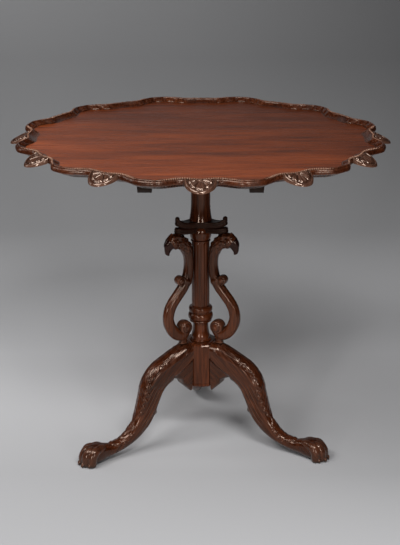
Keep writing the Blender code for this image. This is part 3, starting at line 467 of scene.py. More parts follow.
# Lobes by their middle and half width in degrees and their height in mm
SPRAY_LOBES = ((0.0, 1.5, 3.6), (4.0, 1.3, 3.2), (7.6, 1.2, 3.0))
SPRAY_LEAN = 0.75
SPRAY_LIFT = 0.6
BEAD_PITCH = 0.0047
BEAD_SIZE = (0.0024, 0.0021, 0.0026)
BEAD_END = radians(11.5)
BEAD_SIDE = 0.0012
BEAD_SINK = 0.0014
SHELL_WIDTH = 0.063
SHELL_REACH = 0.037
SHELL_SIDE_REACH = 0.004
SHELL_SQUARENESS = 2.0
SHELL_BLUNTNESS = 0.62
SHELL_DROP = 0.0165
SHELL_ROOT_Z = TOP_Z - 0.0034
SHELL_ROOT_THICKNESS = 0.011
SHELL_TIP_THICKNESS = 0.004
SHELL_UNDER_RISE = 0.0025
SHELL_LOBES = 5
SHELL_LOBE_BEND = 0.07
SHELL_EDGE_POINTS = 111
SHELL_SIDE_PLACES = np.linspace(0.02, 0.95, 6)
SHELL_ROWS = np.concatenate([np.linspace(0.03, 0.6, 22), np.linspace(0.615, 1, 22)])
SHELL_UNDER_ROWS = [43, 33, 22, 11, 0]


def scallop_turn(index):
    return 2 * pi * index / SCALLOPS - pi / 2


def from_shell(angle):
    """Angle from the middle of the nearest shell."""
    return np.abs((angle + SCALLOP_PITCH / 2) % SCALLOP_PITCH - SCALLOP_PITCH / 2)


def rim_radius(angle):
    """Radius of the rim's outer edge."""
    share = (from_shell(angle) - OGEE_START) / (OGEE_END - OGEE_START)
    return NECK_RADIUS + (BULGE_RADIUS - NECK_RADIUS) * smooth(share)


def crest_line(angle):
    """Radius and height of the line along the top of the rim, which dips over the shells."""
    over = smooth(1 - from_shell(angle) / OGEE_START)
    inset = CREST_INSET + (CREST_INSET_AT_SHELL - CREST_INSET) * over
    return rim_radius(angle) - inset, TOP_Z - CREST_DIP_AT_SHELL * over


def spray(angle):
    """Height in mm of the leafy lobes carved on the inside of each swell of the rim."""
    off = np.abs(np.degrees((angle % SCALLOP_PITCH) - SCALLOP_PITCH / 2))
    height = np.zeros_like(angle)
    for middle, half, rise in SPRAY_LOBES:
        height = np.maximum(height, rise * dome((off - middle) / half))
    return height


def rim_rows(angles):
    """Rings of (radius, height): up the cove, over the crest and ovolo, and under the rim."""
    outer = rim_radius(angles)
    crest, high = crest_line(angles)
    inner = outer - RIM_WIDTH
    climb = COVE_CLIMB - TOP_Z + high
    lobes = spray(angles) * MM
    rows = []
    for t in np.linspace(0, 1, COVE_ROWS):
        carved = lobes * smooth((t - 0.2) / 0.25) * (1 - 0.45 * smooth((t - 0.75) / 0.25))
        radius = inner + (crest - CREST_RADIUS - inner) * t - SPRAY_LEAN * carved
        rows.append((radius, FIELD_Z + climb * t ** COVE_HOLLOW + SPRAY_LIFT * carved))
    for a in np.radians(np.linspace(170, 10, CREST_ROWS)):
        wave = lobes * 0.3 * smooth((np.degrees(a) - 10) / 160)
        radius = crest + CREST_RADIUS * cos(a) - wave
        rows.append((radius, high - CREST_RADIUS * (1 - sin(a)) + 0.5 * wave))
    step = crest + CREST_RADIUS
    drop = OVOLO_DROP - CREST_RADIUS - OVOLO_QUIRK
    for a in np.radians(np.linspace(90, -25, OVOLO_ROWS)):
        rows.append((step + (outer - step) * cos(a), TOP_Z - OVOLO_DROP + drop * sin(a)))
    return rows + [(outer - inset, TOP_Z - drop) for inset, drop in RIM_SOFFIT]


def top():
    angles = full_turn(SCALLOPS * RIM_STEPS)
    rim = rim_rows(angles)
    field = [(rim[0][0] * share, FIELD_Z) for share in FIELD_RINGS]
    under = [(rim[-1][0] * share, UNDERSIDE_Z) for share in FIELD_RINGS[::-1]]
    rows = [ring(radius, angles, z) for radius, z in field + rim + under]
    data = Shape(rows).mesh("top", TOP_WOOD, 50)
    data.materials.append(RIM_WOOD)
    kinds = np.zeros(len(data.polygons), int)
    first, last = len(field) + COVE_TOP_WOOD_ROWS, len(field) + len(rim)
    kinds[first * len(angles):last * len(angles)] = 1
    data.polygons.foreach_set("material_index", kinds)
    piece("top", data, "top", ["top_board"], -pi / 2)


def beading():
    """Pearls along the crest, over each shell and out along the curves on both sides of it."""
    fine = np.linspace(0, BEAD_END, 200)
    crest, high = crest_line(fine)
    radius = crest + BEAD_SIDE
    x, y = radius * np.cos(fine), radius * np.sin(fine)
    run = run_length(np.hypot(np.diff(x), np.diff(y)))

    def at(length):
        return [np.interp(length, run, places) for places in (x, y)]

    shape = Shape()
    ball = round_grid(arc((0, 0), (1, 1), 80, -80, 5), 8)
    for scallop in range(SCALLOPS):
        for side in (-1, 1):
            for place in np.arange(BEAD_PITCH / 2, run[-1], BEAD_PITCH):
                (px, py), (next_x, next_y) = at(place), at(place + MM)
                slope = atan2(next_y - py, next_x - px) - pi / 2
                size = 1 - 0.45 * smooth((place / run[-1] - 0.75) * 4)
                local = ball * np.array(BEAD_SIZE) * size
                bx, by = spin(local[..., 0], local[..., 1], slope)
                bx, by = spin(bx + px, (by + py) * side, scallop_turn(scallop))
                bz = local[..., 2] + np.interp(place, run, high) - BEAD_SINK
                shape.skin(np.stack([bx, by, bz], 2))
    piece("rim_beading", shape.mesh("rim_beading", BEAD_WOOD), "top", [])


def shell_relief(lobe, out):
    """Carving of a shell in mm: a boss, lobes that fan out with round ends, and a raised border."""
    across = 2 * (lobe % 1) - 1
    swell = dome(across)
    inside = smooth((0.66 + 0.13 * swell - out) / 0.07)
    quill = 1.2 * hump(across, 0, 0.16) * smooth(out / 0.5)
    lobes = (0.2 + 3.6 * swell * smooth(out / 0.4) - quill) * inside
    border = 2.8 * dome((out - 0.925) / 0.065)
    boss = 3.4 * dome(out / 0.17)
    return np.maximum(np.maximum(lobes, border), boss)


def shells():
    half_angle = asin(SHELL_WIDTH / 2 / NECK_RADIUS)
    side = np.linspace(-1, 1, SHELL_EDGE_POINTS)
    angle = side * half_angle
    root = rim_radius(angle) + GAP
    root_x, root_y = root * np.cos(angle), root * np.sin(angle)
    bow = (1 - np.abs(side) ** SHELL_SQUARENESS) ** SHELL_BLUNTNESS
    edge_x = root_x + SHELL_SIDE_REACH + (SHELL_REACH - SHELL_SIDE_REACH) * bow
    side_x = root_x[0] + SHELL_SIDE_REACH * SHELL_SIDE_PLACES
    side_y = np.ones_like(side_x)
    outline_x = np.concatenate([side_x, edge_x, side_x[::-1]])
    outline_y = np.concatenate([side_y * root_y[0], root_y, side_y * root_y[-1]])
    fan = np.arctan2(outline_y, outline_x - NECK_RADIUS)
    share = (fan - fan[0]) / (fan[-1] - fan[0])
    out = SHELL_ROWS
    x = NECK_RADIUS + (outline_x - NECK_RADIUS)[:, None] * out
    y = outline_y[:, None] * out
    bend = SHELL_LOBE_BEND * np.sin(2 * pi * share)[:, None] * np.sin(pi * out)
    lobe = np.clip(share[:, None] + bend, 0, 0.9999) * SHELL_LOBES
    fall = np.clip((x - np.interp(y, root_y, root_x)) / SHELL_REACH, 0, 1)
    base = SHELL_ROOT_Z - SHELL_DROP * fall
    over = np.stack([x, y, base + shell_relief(lobe, out) * MM], 2)
    thickness = SHELL_ROOT_THICKNESS + (SHELL_TIP_THICKNESS - SHELL_ROOT_THICKNESS) * fall
    under = np.stack([x, y, base - thickness + SHELL_UNDER_RISE], 2)[:, SHELL_UNDER_ROWS]
    data = Shape(np.concatenate([over, under], axis=1)).mesh("shell", SHELL_WOOD, 50)
    for index in range(SCALLOPS):
        name = f"shell_{index + 1:02d}"
        piece(f"{name}_carved", data, "top", [name], scallop_turn(index))


# Pillar: upper shaft, capital, reeded shaft and hub

TURNED_SIDES = 72
SHAFT_RADIUS = 0.0216
SHAFT_FOOT_RADIUS = 0.0256
SHAFT_FLARE = 0.045
SHAFT_BELL = 2.4
BLOCK_TENON_RADIUS = 0.0165
BLOCK_TENON = 0.03
TENON_RADIUS = 0.013
CAPITAL_TIER = 0.013
UPPER_TIER_BOTTOM = CAPITAL_BOTTOM + CAPITAL_TIER + GAP
CAPITAL_TOP = UPPER_TIER_BOTTOM + CAPITAL_TIER
# Tiers by their bottom, the reach and rise of their horns, and their waist
HORNS = (
    ("capital_upper_tier", UPPER_TIER_BOTTOM, 0.0665, 0.015, 0.0245),
    ("capital_lower_tier", CAPITAL_BOTTOM, 0.0685, 0.007, 0.0195),
)
# Edge of a tier, as shares of its reach and thickness
TIER_PROFILE = (
    (0, 0), (0.25, 0), (0.5, 0), (0.7, 0), (0.84, 0.01), (0.92, 0.04), (0.965, 0.1), (0.99, 0.19),
    (1.0, 0.3), (0.99, 0.42), (0.975, 0.5), (0.985, 0.58), (0.985, 0.68), (0.97, 0.78),
    (0.945, 0.87), (0.91, 0.94), (0.86, 0.985), (0.8, 1), (0.65, 1), (0.5, 1), (0.25, 1), (0, 1),
)
HORN_STEPS = 28
HORN_COLLAR = 0.0035
HORN_CURL = 4.0
HORN_CREST = 0.93
HORN_THINNING = 0.12
HORN_BLUNTNESS = 0.12
HORN_PLAIN = 0.12
HORN_HALF_WIDTH = radians(7)
KNOBBED_TIER = "capital_upper_tier"
KNOB_OUT = 0.0612
KNOB_LIFT = 0.023
KNOB_SIZE = (0.0053, 0.0056)
QUIRK = 0.0008
KNOP_RADIUS = 0.0246
KNOP_NECK_RADIUS = 0.0215
KNOP_HEIGHT = 0.023
KNOP_RISE = 0.0115
KNOP_COLLAR = (0.003, 0.0005)
REED_RADIUS = 0.0205
REED_DEPTH = 0.0019
REED_END_STEP = 0.0012
REED_FULLNESS = 0.96
REEDS = 12
REED_SIDES = 10
# Ends of the reeds, as shares of their relief and heights from the knop's foot and the rings
REED_TOPS = ((0, 0), (0.35, -0.001), (0.7, -0.003), (1, -0.006))
REED_FEET = ((1, 0.0065), (0.7, 0.0035), (0.35, 0.002), (0, 0.0014))
RING_TOP = 0.3215
RING_CORE = 0.024
UPPER_RING = (0.0272, 0.0137)
LOWER_RING = (0.0286, 0.0173)
RING_FILLET = 0.006
VASE_NECK = 0.0176
VASE_LIP = 0.001
VASE_RADIUS = 0.0236
VASE_BELLY = 2.6
VASE_TUCK = 0.0018
VASE_FOOT = 0.0252
VASE_FOOT_HEIGHT = 0.0035
VASE_FOOT_BORE = 0.012
PANEL_OUT = 0.04
PANEL_WIDTH = 0.035
PANEL_ARRIS = 0.0022
PANEL_POINTS = 11
# Rows of the hub, by their inset and their height over its bottom or below its top
HUB_FOOT_ROWS = (
    (0.006, 0), (0.0015, 0.0006), (0.0002, 0.002), (0, 0.007), (0.001, 0.0078),
    (0.0012, 0.009), (0.0003, 0.0098),
)
HUB_TOP_ROWS = ((0.0003, 0.006), (0.0012, 0.003), (0.0035, 0.0008), (0.008, 0))


def pillar_piece(name, grid, node, sharp=40, turn=0.0):
    data = Shape(grid).mesh(name, PILLAR_WOOD, sharp)
    piece(name, data, "base", [node], turn)


def upper_shaft():
    """Plain shaft with a trumpet foot, and its tenon up through the block."""
    high = BLOCK_BOTTOM - GAP
    low = CAPITAL_TOP + GAP
    profile = [(BLOCK_TENON_RADIUS, high + BLOCK_TENON), (BLOCK_TENON_RADIUS, high)]
    profile += [(SHAFT_RADIUS, high), (SHAFT_RADIUS, low + SHAFT_FLARE)]
    for share in np.linspace(0.1, 1, 16):
        radius = SHAFT_RADIUS + (SHAFT_FOOT_RADIUS - SHAFT_RADIUS) * share ** SHAFT_BELL
        profile.append((radius, low + SHAFT_FLARE * (1 - share)))
    profile.append((TENON_RADIUS, low))
    pillar_piece("upper_shaft_turned", round_grid(profile, TURNED_SIDES), "upper_shaft")


def capital():
    """Two three-horned plates with hollow moulded edges and claw tips that sweep up."""
    half = LEG_SPACING / 2 * (np.arange(HORN_STEPS + 1) / HORN_STEPS) ** 1.5
    offsets = np.concatenate([-half[::-1], half[1:-1]])
    angles = np.concatenate([leg_turn(leg) + offsets for leg in range(LEGS)])
    aside = np.abs(np.tile(offsets, LEGS))
    beyond = np.maximum(0, aside - HORN_HALF_WIDTH) / (LEG_SPACING / 2 - HORN_HALF_WIDTH)
    blunt = np.minimum(1, aside / HORN_HALF_WIDTH)
    taper = (1 - HORN_BLUNTNESS * blunt ** 3) * (1 - beyond) ** 3
    plain = 1 - smooth(taper / HORN_PLAIN)
    for name, bottom, reach, rise, waist in HORNS:
        collar = waist - HORN_COLLAR
        edge = waist + (reach - waist) * taper
        rows = []
        for share, lift in TIER_PROFILE:
            spread = share + (1 - share) * smooth((share - 0.7) / 0.1) * plain
            radius = collar + (edge - collar) * spread
            swept = np.minimum(1, (radius - collar) / (HORN_CREST * reach - collar)) ** HORN_CURL
            z = bottom + lift * CAPITAL_TIER * (1 - HORN_THINNING * swept)
            rows.append(ring(radius, angles, z + rise * swept * (0.4 + 0.6 * lift)))
        for lift in (1, 0):
            rows.append(ring(TENON_RADIUS + GAP, angles, bottom + lift * CAPITAL_TIER))
        shape = Shape()
        shape.skin(rows, wrap_rows=True)
        if name == KNOBBED_TIER:
            knob = round_grid(arc((0, 0), KNOB_SIZE, 85, -85, 12), 20)
            for leg in range(LEGS):
                turn = leg_turn(leg)
                x, y = KNOB_OUT * cos(turn), KNOB_OUT * sin(turn)
                shape.skin(knob + np.array((x, y, bottom + KNOB_LIFT)))
        piece(f"{name}_carved", shape.mesh(name, CAPITAL_SHADED_WOOD), "base", [name])


def lower_shaft():
    """Knop, reeds, two rings and a vase on a round foot."""
    top_z = CAPITAL_BOTTOM - GAP
    knop_top = top_z + KNOP_RISE
    knop_foot = top_z - KNOP_HEIGHT
    ring_middle = RING_TOP - UPPER_RING[1]
    ring_foot = ring_middle - LOWER_RING[1]
    vase_top = ring_foot - RING_FILLET
    foot = HUB_TOP + GAP
    foot_top = foot + VASE_FOOT_HEIGHT
    vase_low = foot_top + 0.002
    upper = [(TENON_RADIUS, knop_top)]
    upper += bead(KNOP_NECK_RADIUS - 0.003, KNOP_RADIUS, knop_top, knop_foot + 0.0035, 24)
    upper += [(KNOP_NECK_RADIUS + QUIRK, knop_foot + rise) for rise in KNOP_COLLAR]
    lower = [(RING_CORE - 0.002, RING_TOP + QUIRK)]
    lower += bead(RING_CORE, UPPER_RING[0], RING_TOP, ring_middle + QUIRK)
    lower += bead(RING_CORE, LOWER_RING[0], ring_middle - QUIRK, ring_foot)
    lower += bead(RING_CORE - 0.001, RING_CORE + 0.0012, ring_foot - 0.0006, vase_top + VASE_LIP, 6)
    lower.append((VASE_NECK + 0.0025, vase_top))
    for share in np.linspace(0, 1, 16):
        swell = VASE_NECK + (VASE_RADIUS - VASE_NECK) * share ** VASE_BELLY
        tuck = VASE_TUCK * smooth((share - 0.9) / 0.1)
        z = vase_top - VASE_LIP + (vase_low - vase_top + VASE_LIP) * share
        lower.append((swell - tuck, z))
    lower.append((VASE_FOOT - 0.003, foot_top))
    lower += bead(VASE_FOOT - 0.0015, VASE_FOOT, foot_top, foot, 6)
    lower.append((VASE_FOOT_BORE, foot))
    sides = REEDS * REED_SIDES
    across = 2 * ((np.arange(sides) / REED_SIDES) % 1) - 1
    groove = REED_DEPTH * (1 - dome(REED_FULLNESS * across))
    reeds = []
    for end, stations in ((knop_foot, REED_TOPS), (RING_TOP, REED_FEET)):
        for share, z in stations:
            radius = REED_RADIUS - REED_END_STEP * (1 - share) - groove * share
            reeds.append(ring(radius, full_turn(sides), z + end))
    grid = np.concatenate([round_grid(upper, sides), reeds, round_grid(lower, sides)])
    pillar_piece("lower_shaft_turned", grid, "lower_shaft", turn=leg_turn(0))


def hub():
    """Base of the pillar, with an arris down each of its panels and a band along their foot."""
    rows = [(inset, HUB_BOTTOM + rise) for inset, rise in HUB_FOOT_ROWS]
    rows += [(inset, HUB_TOP - drop) for inset, drop in HUB_TOP_ROWS]
    grid = []
    for inset, z in rows:
        points = []
        for leg in range(LEGS):
            for across in np.linspace(-1, 1, PANEL_POINTS):
                out = PANEL_OUT - inset - PANEL_ARRIS * abs(across)
                side = across * (PANEL_WIDTH / 2 - inset * 0.6)
                points.append((*spin(out, side, leg_turn(leg) + LEG_SPACING / 2), z))
        grid.append(points)
    pillar_piece("hub_carved", grid, "leg_hub", sharp=12)


# Legs: carved cabriole legs on paws

PANEL_EDGE = PANEL_OUT - PANEL_ARRIS
HUB_FACE = PANEL_EDGE * cos(LEG_SPACING / 2) + PANEL_WIDTH / 2 * sin(LEG_SPACING / 2)
LEG_ROOT = HUB_FACE + GAP
LEG_SEAT_END = 0.0515
WEDGE_OUT = 0.055
WEDGE_STEP = 0.012
WEDGE_FOOT = 0.1416
WEDGE_LINE = ((0.036, 0.205), (0.0815, 0.168))
WEDGE_INSET = 0.004
WEDGE_EDGE = 0.0025
# Upright rows at the shoulder, by the distance out, bottom, top and width
LEG_BLOCK = (
    (LEG_ROOT, 0.1215, HUB_TOP, 0.05),
    (LEG_SEAT_END, 0.138, HUB_TOP - 0.0005, 0.0485),
    (WEDGE_OUT, WEDGE_FOOT, HUB_TOP - 0.0023, 0.0482),
    (WEDGE_OUT + WEDGE_STEP / 5, WEDGE_FOOT + WEDGE_STEP, HUB_TOP - 0.0035, 0.048),
)
# Stations down the leg, by the distance out, height, depth and width
LEG_STATIONS = (
    (0.09, 0.1858, 0.064, 0.044), (0.1115, 0.1733, 0.0645, 0.0428),
    (0.1288, 0.1528, 0.0612, 0.0405), (0.1386, 0.1275, 0.0545, 0.038),
    (0.1565, 0.0802, 0.046, 0.034), (0.1825, 0.0493, 0.0345, 0.031),
    (0.212, 0.0318, 0.0262, 0.029), (0.24, 0.025, 0.027, 0.03),
)
FOOT_REACH = 0.32
# Upright rows of the paw, by the distance back from its front, bottom, top and width
PAW_STATIONS = (
    (0.062, 0.0075, 0.0425, 0.034), (0.048, 0.0035, 0.0465, 0.04),
    (0.034, 0.001, 0.0465, 0.043), (0.022, 0.0, 0.0425, 0.043),
    (0.012, 0.0, 0.0345, 0.039), (0.007, 0.001, 0.025, 0.032),
)
LEG_DOME = 0.44
BLOCK_DOMES = (0.34, 0.45, 0.5, 0.5)
DOME_SQUARENESS = 2.05
LEG_BELLY = 2.3
BLOCK_BELLY = 6.0
CROWN = np.sin(np.linspace(-pi / 2, pi / 2, 61))
CROWN_MIDDLE = len(CROWN) // 2
BELLY_ANGLES = np.linspace(0, pi, 721)
BELLY_POINTS = 69
# Leaves by their base and tip along the leg, half width and lobes
KNEE_LEAF = (0.022, 0.215, 0.03, 12)
ANKLE_LEAF = (0.3, 0.212, 0.023, 6)
KNEE_LEAF_MARGIN = 0.008
KNEE_LEAF_SPREAD = 0.4
KNEE_LEAF_SPREAD_START = 0.11
LEAF_STEM = 0.0022
LEAF_LEAST_WIDTH = 1e-5
# Threads by their height, place and width, then their run by its start, end, rise and fall
EDGE_THREAD = (0.001, 0.0035, 0.0032, 0.004, 0.135, 0.01, 0.03)
LOWER_THREAD = (0.0011, 0.02, 0.0022, 0.06, 0.23, 0.02, 0.05)
FLANK_RUN = (0.105, 0.225, 0.02, 0.03)
FLANK_PITCH = 0.0095
FLANK_SLANT = 0.3
FLANK_DEPTH = 0.0013
SPUR_HEIGHT = 0.0055
SPUR_ALONG = (0.176, 0.0055)
SPUR_ACROSS = 0.0085
TOE_SPREAD = (-17.5, -6, 6, 17.5)
TOE_REACH = (0.89, 1.0, 1.0, 0.89)
TOE_ORIGIN = 0.248
# Toes and claws, by the distance out, height and radius
TOE_STATIONS = (
    (0.018, 0.033, 0.0095), (0.03, 0.0352, 0.0112), (0.041, 0.0344, 0.011),
    (0.052, 0.0322, 0.0122), (0.059, 0.0245, 0.0118), (0.0612, 0.016, 0.0114),
    (0.0612, 0.008, 0.0103), (0.0604, 0.003, 0.0086), (0.0604, 0.0008, 0.0066),
)
TOE_SIDES = 18
CLAW_STATIONS = (
    (0.066, 0.012, 0.004), (0.0712, 0.0088, 0.004),
    (0.0726, 0.0052, 0.0032), (0.0728, 0.0024, 0.002),
)
CLAW_SIDES = 10


def leg_section(low, high, width, dome_share=LEG_DOME, belly=LEG_BELLY):
    """Ring across a leg as (across, height): a domed top over a fuller belly."""
    fall = dome_share * width
    swell = np.maximum(0, 1 - np.abs(CROWN) ** DOME_SQUARENESS) ** (1 / DOME_SQUARENESS)
    crown = high - fall * (1 - swell)
    side = squared(np.cos(BELLY_ANGLES), 2 / belly) * width / 2
    below = high - fall - (high - fall - low) * np.sin(BELLY_ANGLES) ** (2 / belly)
    run = run_length(np.hypot(np.diff(side), np.diff(below)))
    even = np.linspace(0, run[-1], BELLY_POINTS + 2)[1:-1]
    across = np.concatenate([CROWN * width / 2, np.interp(even, run, side)])
    return np.stack([across, np.concatenate([crown, np.interp(even, run, below)])], 1)


def leg_rings():
    """Rings from the shoulder at the hub to the front of the paw."""
    def level(out, *section):
        across, height = leg_section(*section).T
        return np.stack([np.full(len(across), out), across, height], 1)

    block = [level(*row, share, BLOCK_BELLY) for row, share in zip(LEG_BLOCK, BLOCK_DOMES)]
    fine = mixed(block[0], block[1], np.linspace(0, 1, 19)[:-1])
    fine += mixed(block[1], block[2], np.linspace(0, 1, 11)[:-1])
    fine += mixed(block[2], block[3], np.linspace(0, 1, 4))
    run = spline(LEG_STATIONS, 26)
    swept = []
    for (out, height, depth, width), (ax, az) in zip(run, headings(run[:, :2])):
        across, rise = leg_section(-depth / 2, depth / 2, width).T
        swept.append(np.stack([out - az * rise, across, height + ax * rise], 1))
    join = mixed(fine[-1], swept[0], np.linspace(0, 1, 6)[1:-1])
    paw = spline([level(FOOT_REACH - back, *section) for back, *section in PAW_STATIONS], 6)
    bridge = mixed(swept[-1], paw[0], np.linspace(0, 1, 7)[1:-1])
    return wedged(np.concatenate([fine, join, swept, bridge, paw]))


def wedged(grid):
    """Sets the shoulder back below the leg's lower edge, where it meets the hub."""
    (near, near_z), (far, far_z) = WEDGE_LINE
    line = near_z + (far_z - near_z) * (grid[..., 0] - near) / (far - near)
    below = smooth((line - grid[..., 2]) / WEDGE_EDGE) * (grid[..., 0] < far)
    across = grid[..., 1]
    grid[..., 1] -= np.sign(across) * below * np.minimum(WEDGE_INSET, np.abs(across))
    return grid


def leaf(along, across, start, end, half_width, lobes):
    """Relief of an acanthus leaf from its base to its tip, with lobed edges and swept veins."""
    share = (along - start) / (end - start)
    inside = (share > 0) & (share < 1)
    share = np.clip(share, 0.001, 0.999)
    width = half_width * np.sin(pi * share ** 0.75) ** 0.6
    edge = width * (1 - 0.3 * np.abs(np.sin(pi * lobes * share)) ** 3)
    reach = np.abs(across) / np.maximum(edge, LEAF_LEAST_WIDTH)
    rib = dome(2 * ((lobes * (share - 0.22 * reach)) % 1) - 1) * np.sqrt(np.clip(reach, 0, 1))
    stem = hump(across, 0, LEAF_STEM) * smooth((1 - share) / 0.2)
    body = smooth((1 - reach) / 0.16)
    return inside * body * (0.0008 + 0.002 * rib + 0.0014 * stem)


def leg_relief(grid):
    """Carving of a leg: threads and strokes along it, leaves on knee and ankle, a spur behind."""
    middle = grid.mean(axis=1)
    along = run_length(norm(np.diff(middle, axis=0), axis=1))[:, None]
    steps = norm(np.diff(grid, axis=1), axis=2)
    run = np.concatenate([np.zeros((len(grid), 1)), np.cumsum(steps, axis=1)], axis=1)
    total = run[:, -1:] + norm(grid[:, :1] - grid[:, -1:], axis=2)
    ridge = run[:, CROWN_MIDDLE:CROWN_MIDDLE + 1]
    edge = run[:, len(CROWN) - 1:len(CROWN)] - ridge
    across = run - ridge
    across = np.where(across > total / 2, across - total, across)
    aside = np.abs(across)
    belly = total / 2 - aside
    start, end, widest, lobes = KNEE_LEAF
    spread = KNEE_LEAF_SPREAD * np.maximum(0, along - KNEE_LEAF_SPREAD_START)
    above_thread = np.minimum(widest, edge - KNEE_LEAF_MARGIN + spread)
    height = leaf(along, across, start, end, above_thread, lobes)
    height = np.maximum(height, leaf(along, across, *ANKLE_LEAF))
    rise, inset, width, *span = EDGE_THREAD
    height += rise * hump(aside, edge - inset, width) * between(along, *span)
    rise, place, width, *span = LOWER_THREAD
    height += rise * hump(belly, place, width) * between(along, *span)
    flank = between(along, *FLANK_RUN) * smooth((aside - 0.022) / 0.006)
    flank = flank * smooth((belly - 0.01) / 0.008)
    stroke = np.sin(2 * pi * (aside + FLANK_SLANT * along) / FLANK_PITCH)
    height += FLANK_DEPTH * stroke * flank
    return height + SPUR_HEIGHT * hump(along, *SPUR_ALONG) * hump(belly, 0, SPUR_ACROSS)


def tube(stations, turn, reach, sides):
    """Rings along stations from the paw's own axis, swung out sideways."""
    run = spline([(out * reach, height, radius) for out, height, radius in stations], 6)
    angles = full_turn(sides)
    c, s = cos(turn), sin(turn)
    rings = []
    for (out, height, radius), (ax, az) in zip(run, headings(run[:, :2])):
        x = out - az * radius * np.cos(angles)
        z = height + ax * radius * np.cos(angles)
        y = radius * np.sin(angles)
        rings.append(np.stack([TOE_ORIGIN + x * c - y * s, x * s + y * c, z], 1))
    return rings


def legs():
    grid = leg_rings()
    shape = Shape(raised(grid, leg_relief(grid)))
    for spread, reach in zip(TOE_SPREAD, TOE_REACH):
        turn = radians(spread)
        shape.skin(tube(TOE_STATIONS, turn, reach, TOE_SIDES))
        shape.skin(tube(CLAW_STATIONS, turn, reach, CLAW_SIDES))
    on_each_leg("leg", shape.mesh("leg_carved", LEG_WOOD, 55))


# Brackets: scrolled straps with an eagle's head

BRACKET_SEAT = HUB_TOP + GAP
BRACKET_RISE = CAPITAL_BOTTOM - GAP - BRACKET_SEAT
BRACKET_THICKNESS = 0.024
# Stations by the distance from the ring or the reeds, share of the rise and half width
VOLUTE_STATIONS = (
    (0.0185, 0.196, 0.004), (0.0125, 0.187, 0.0062), (0.0085, 0.158, 0.0085),
    (0.0115, 0.116, 0.0112), (0.0215, 0.08, 0.0132), (0.035, 0.092, 0.0138),
    (0.0475, 0.138, 0.0134), (0.056, 0.204, 0.013), (0.058, 0.265, 0.0125),
)
NECK_STATIONS = (
    (0.062, 0.335, 0.0125), (0.053, 0.395, 0.012), (0.04, 0.455, 0.012),
    (0.027, 0.515, 0.012), (0.017, 0.585, 0.0115), (0.012, 0.665, 0.011),
    (0.011, 0.745, 0.0108), (0.014, 0.82, 0.011), (0.0225, 0.893, 0.012),
    (0.0355, 0.934, 0.0145), (0.0495, 0.945, 0.0165), (0.061, 0.924, 0.014),
    (0.0655, 0.89, 0.0092), (0.0668, 0.857, 0.006), (0.0645, 0.834, 0.0024),
)
STRAP_STEPS = 9
STRAP_SIDES = 64
STRAP_LEAST_THICKNESS = 0.4
STRAP_FULL_WIDTH = 0.0096
STRAP_GROOVE = 0.0012
KNUCKLE_STATION = len(VOLUTE_STATIONS) + 3.8
KNUCKLE_COLLAR = (0.0018, 0.0045)
NECK_START = len(VOLUTE_STATIONS) + 6.5
CREST_START = len(VOLUTE_STATIONS) + 7
EYE_STATION = len(VOLUTE_STATIONS) + 9.75
BEAK_STATION = len(VOLUTE_STATIONS) + 10.75
FEATHER_LENGTH = 0.0088
FEATHER_OVERLAP = 1.75
FEATHER_RISE = 0.0022
FEATHERS_ROUND = 9
CREST_TOOTH = 0.0092
CREST_RISE = 0.0036
CREST_DEGREES = 42
EYE_DEGREES = 76
EYE_RADIUS = 0.0029
# Sockets and brows, by their rise, place and length past the eye, degrees and their spread
FACE_HUMPS = ((-0.0022, 0, 0.0042, EYE_DEGREES, 13), (0.0026, -0.001, 0.0075, 47, 10))
BEAK_RIDGE = (0.0012, 0.0018)
MOUTH_DEPTH = 0.0013
MOUTH_DEGREES = (128, 7)
MOUTH_START = 0.004
# Rolled ends, by the distance out, share of the rise, radius and how far they stand proud
SCROLLS = (
    (REED_RADIUS + GAP + 0.0345, 0.585, 0.0112, -0.0015),
    (LOWER_RING[0] + GAP + 0.015, 0.146, 0.0158, 0.001),
)
SCROLL_FACE = (
    (0.02, 0.0022), (0.15, 0.0021), (0.3, 0.0018), (0.45, 0.0012), (0.56, 0.0005), (0.62, -0.0007),
    (0.68, -0.0007), (0.74, 0.0001), (0.84, -0.0006), (0.94, -0.0024), (1.0, -0.0056),
)
SCROLL_SIDES = 32
PAD_MIDDLE = LOWER_RING[0] + 0.0195
PAD_SIDES = 32
PAD_POWER = 0.6
PAD_DEPTH = 0.8
PAD_ROWS = (
    (0.0096, 0.0), (0.0097, 0.0012), (0.009, 0.003), (0.0086, 0.006), (0.0094, 0.01),
    (0.0112, 0.014),
)


def feathers(along, round_share):
    """Relief of overlapping feathers, each with a raised rounded tip and a quill."""
    row = along / FEATHER_LENGTH
    column = round_share * FEATHERS_ROUND
    height = np.zeros(np.broadcast(row, column).shape)
    for shift in (0, 1):
        near = np.floor(row) - shift
        across = 2 * ((column + 0.5 * (near % 2)) % 1) - 1
        reach = (row - near) / FEATHER_OVERLAP
        outline = dome(across)
        inside = (reach < outline) & (reach >= 0)
        rise = 0.35 + 0.65 * reach / np.maximum(outline, 0.05) - 0.25 * hump(across, 0, 0.12)
        height = np.maximum(height, np.where(inside, rise, 0))
    return height


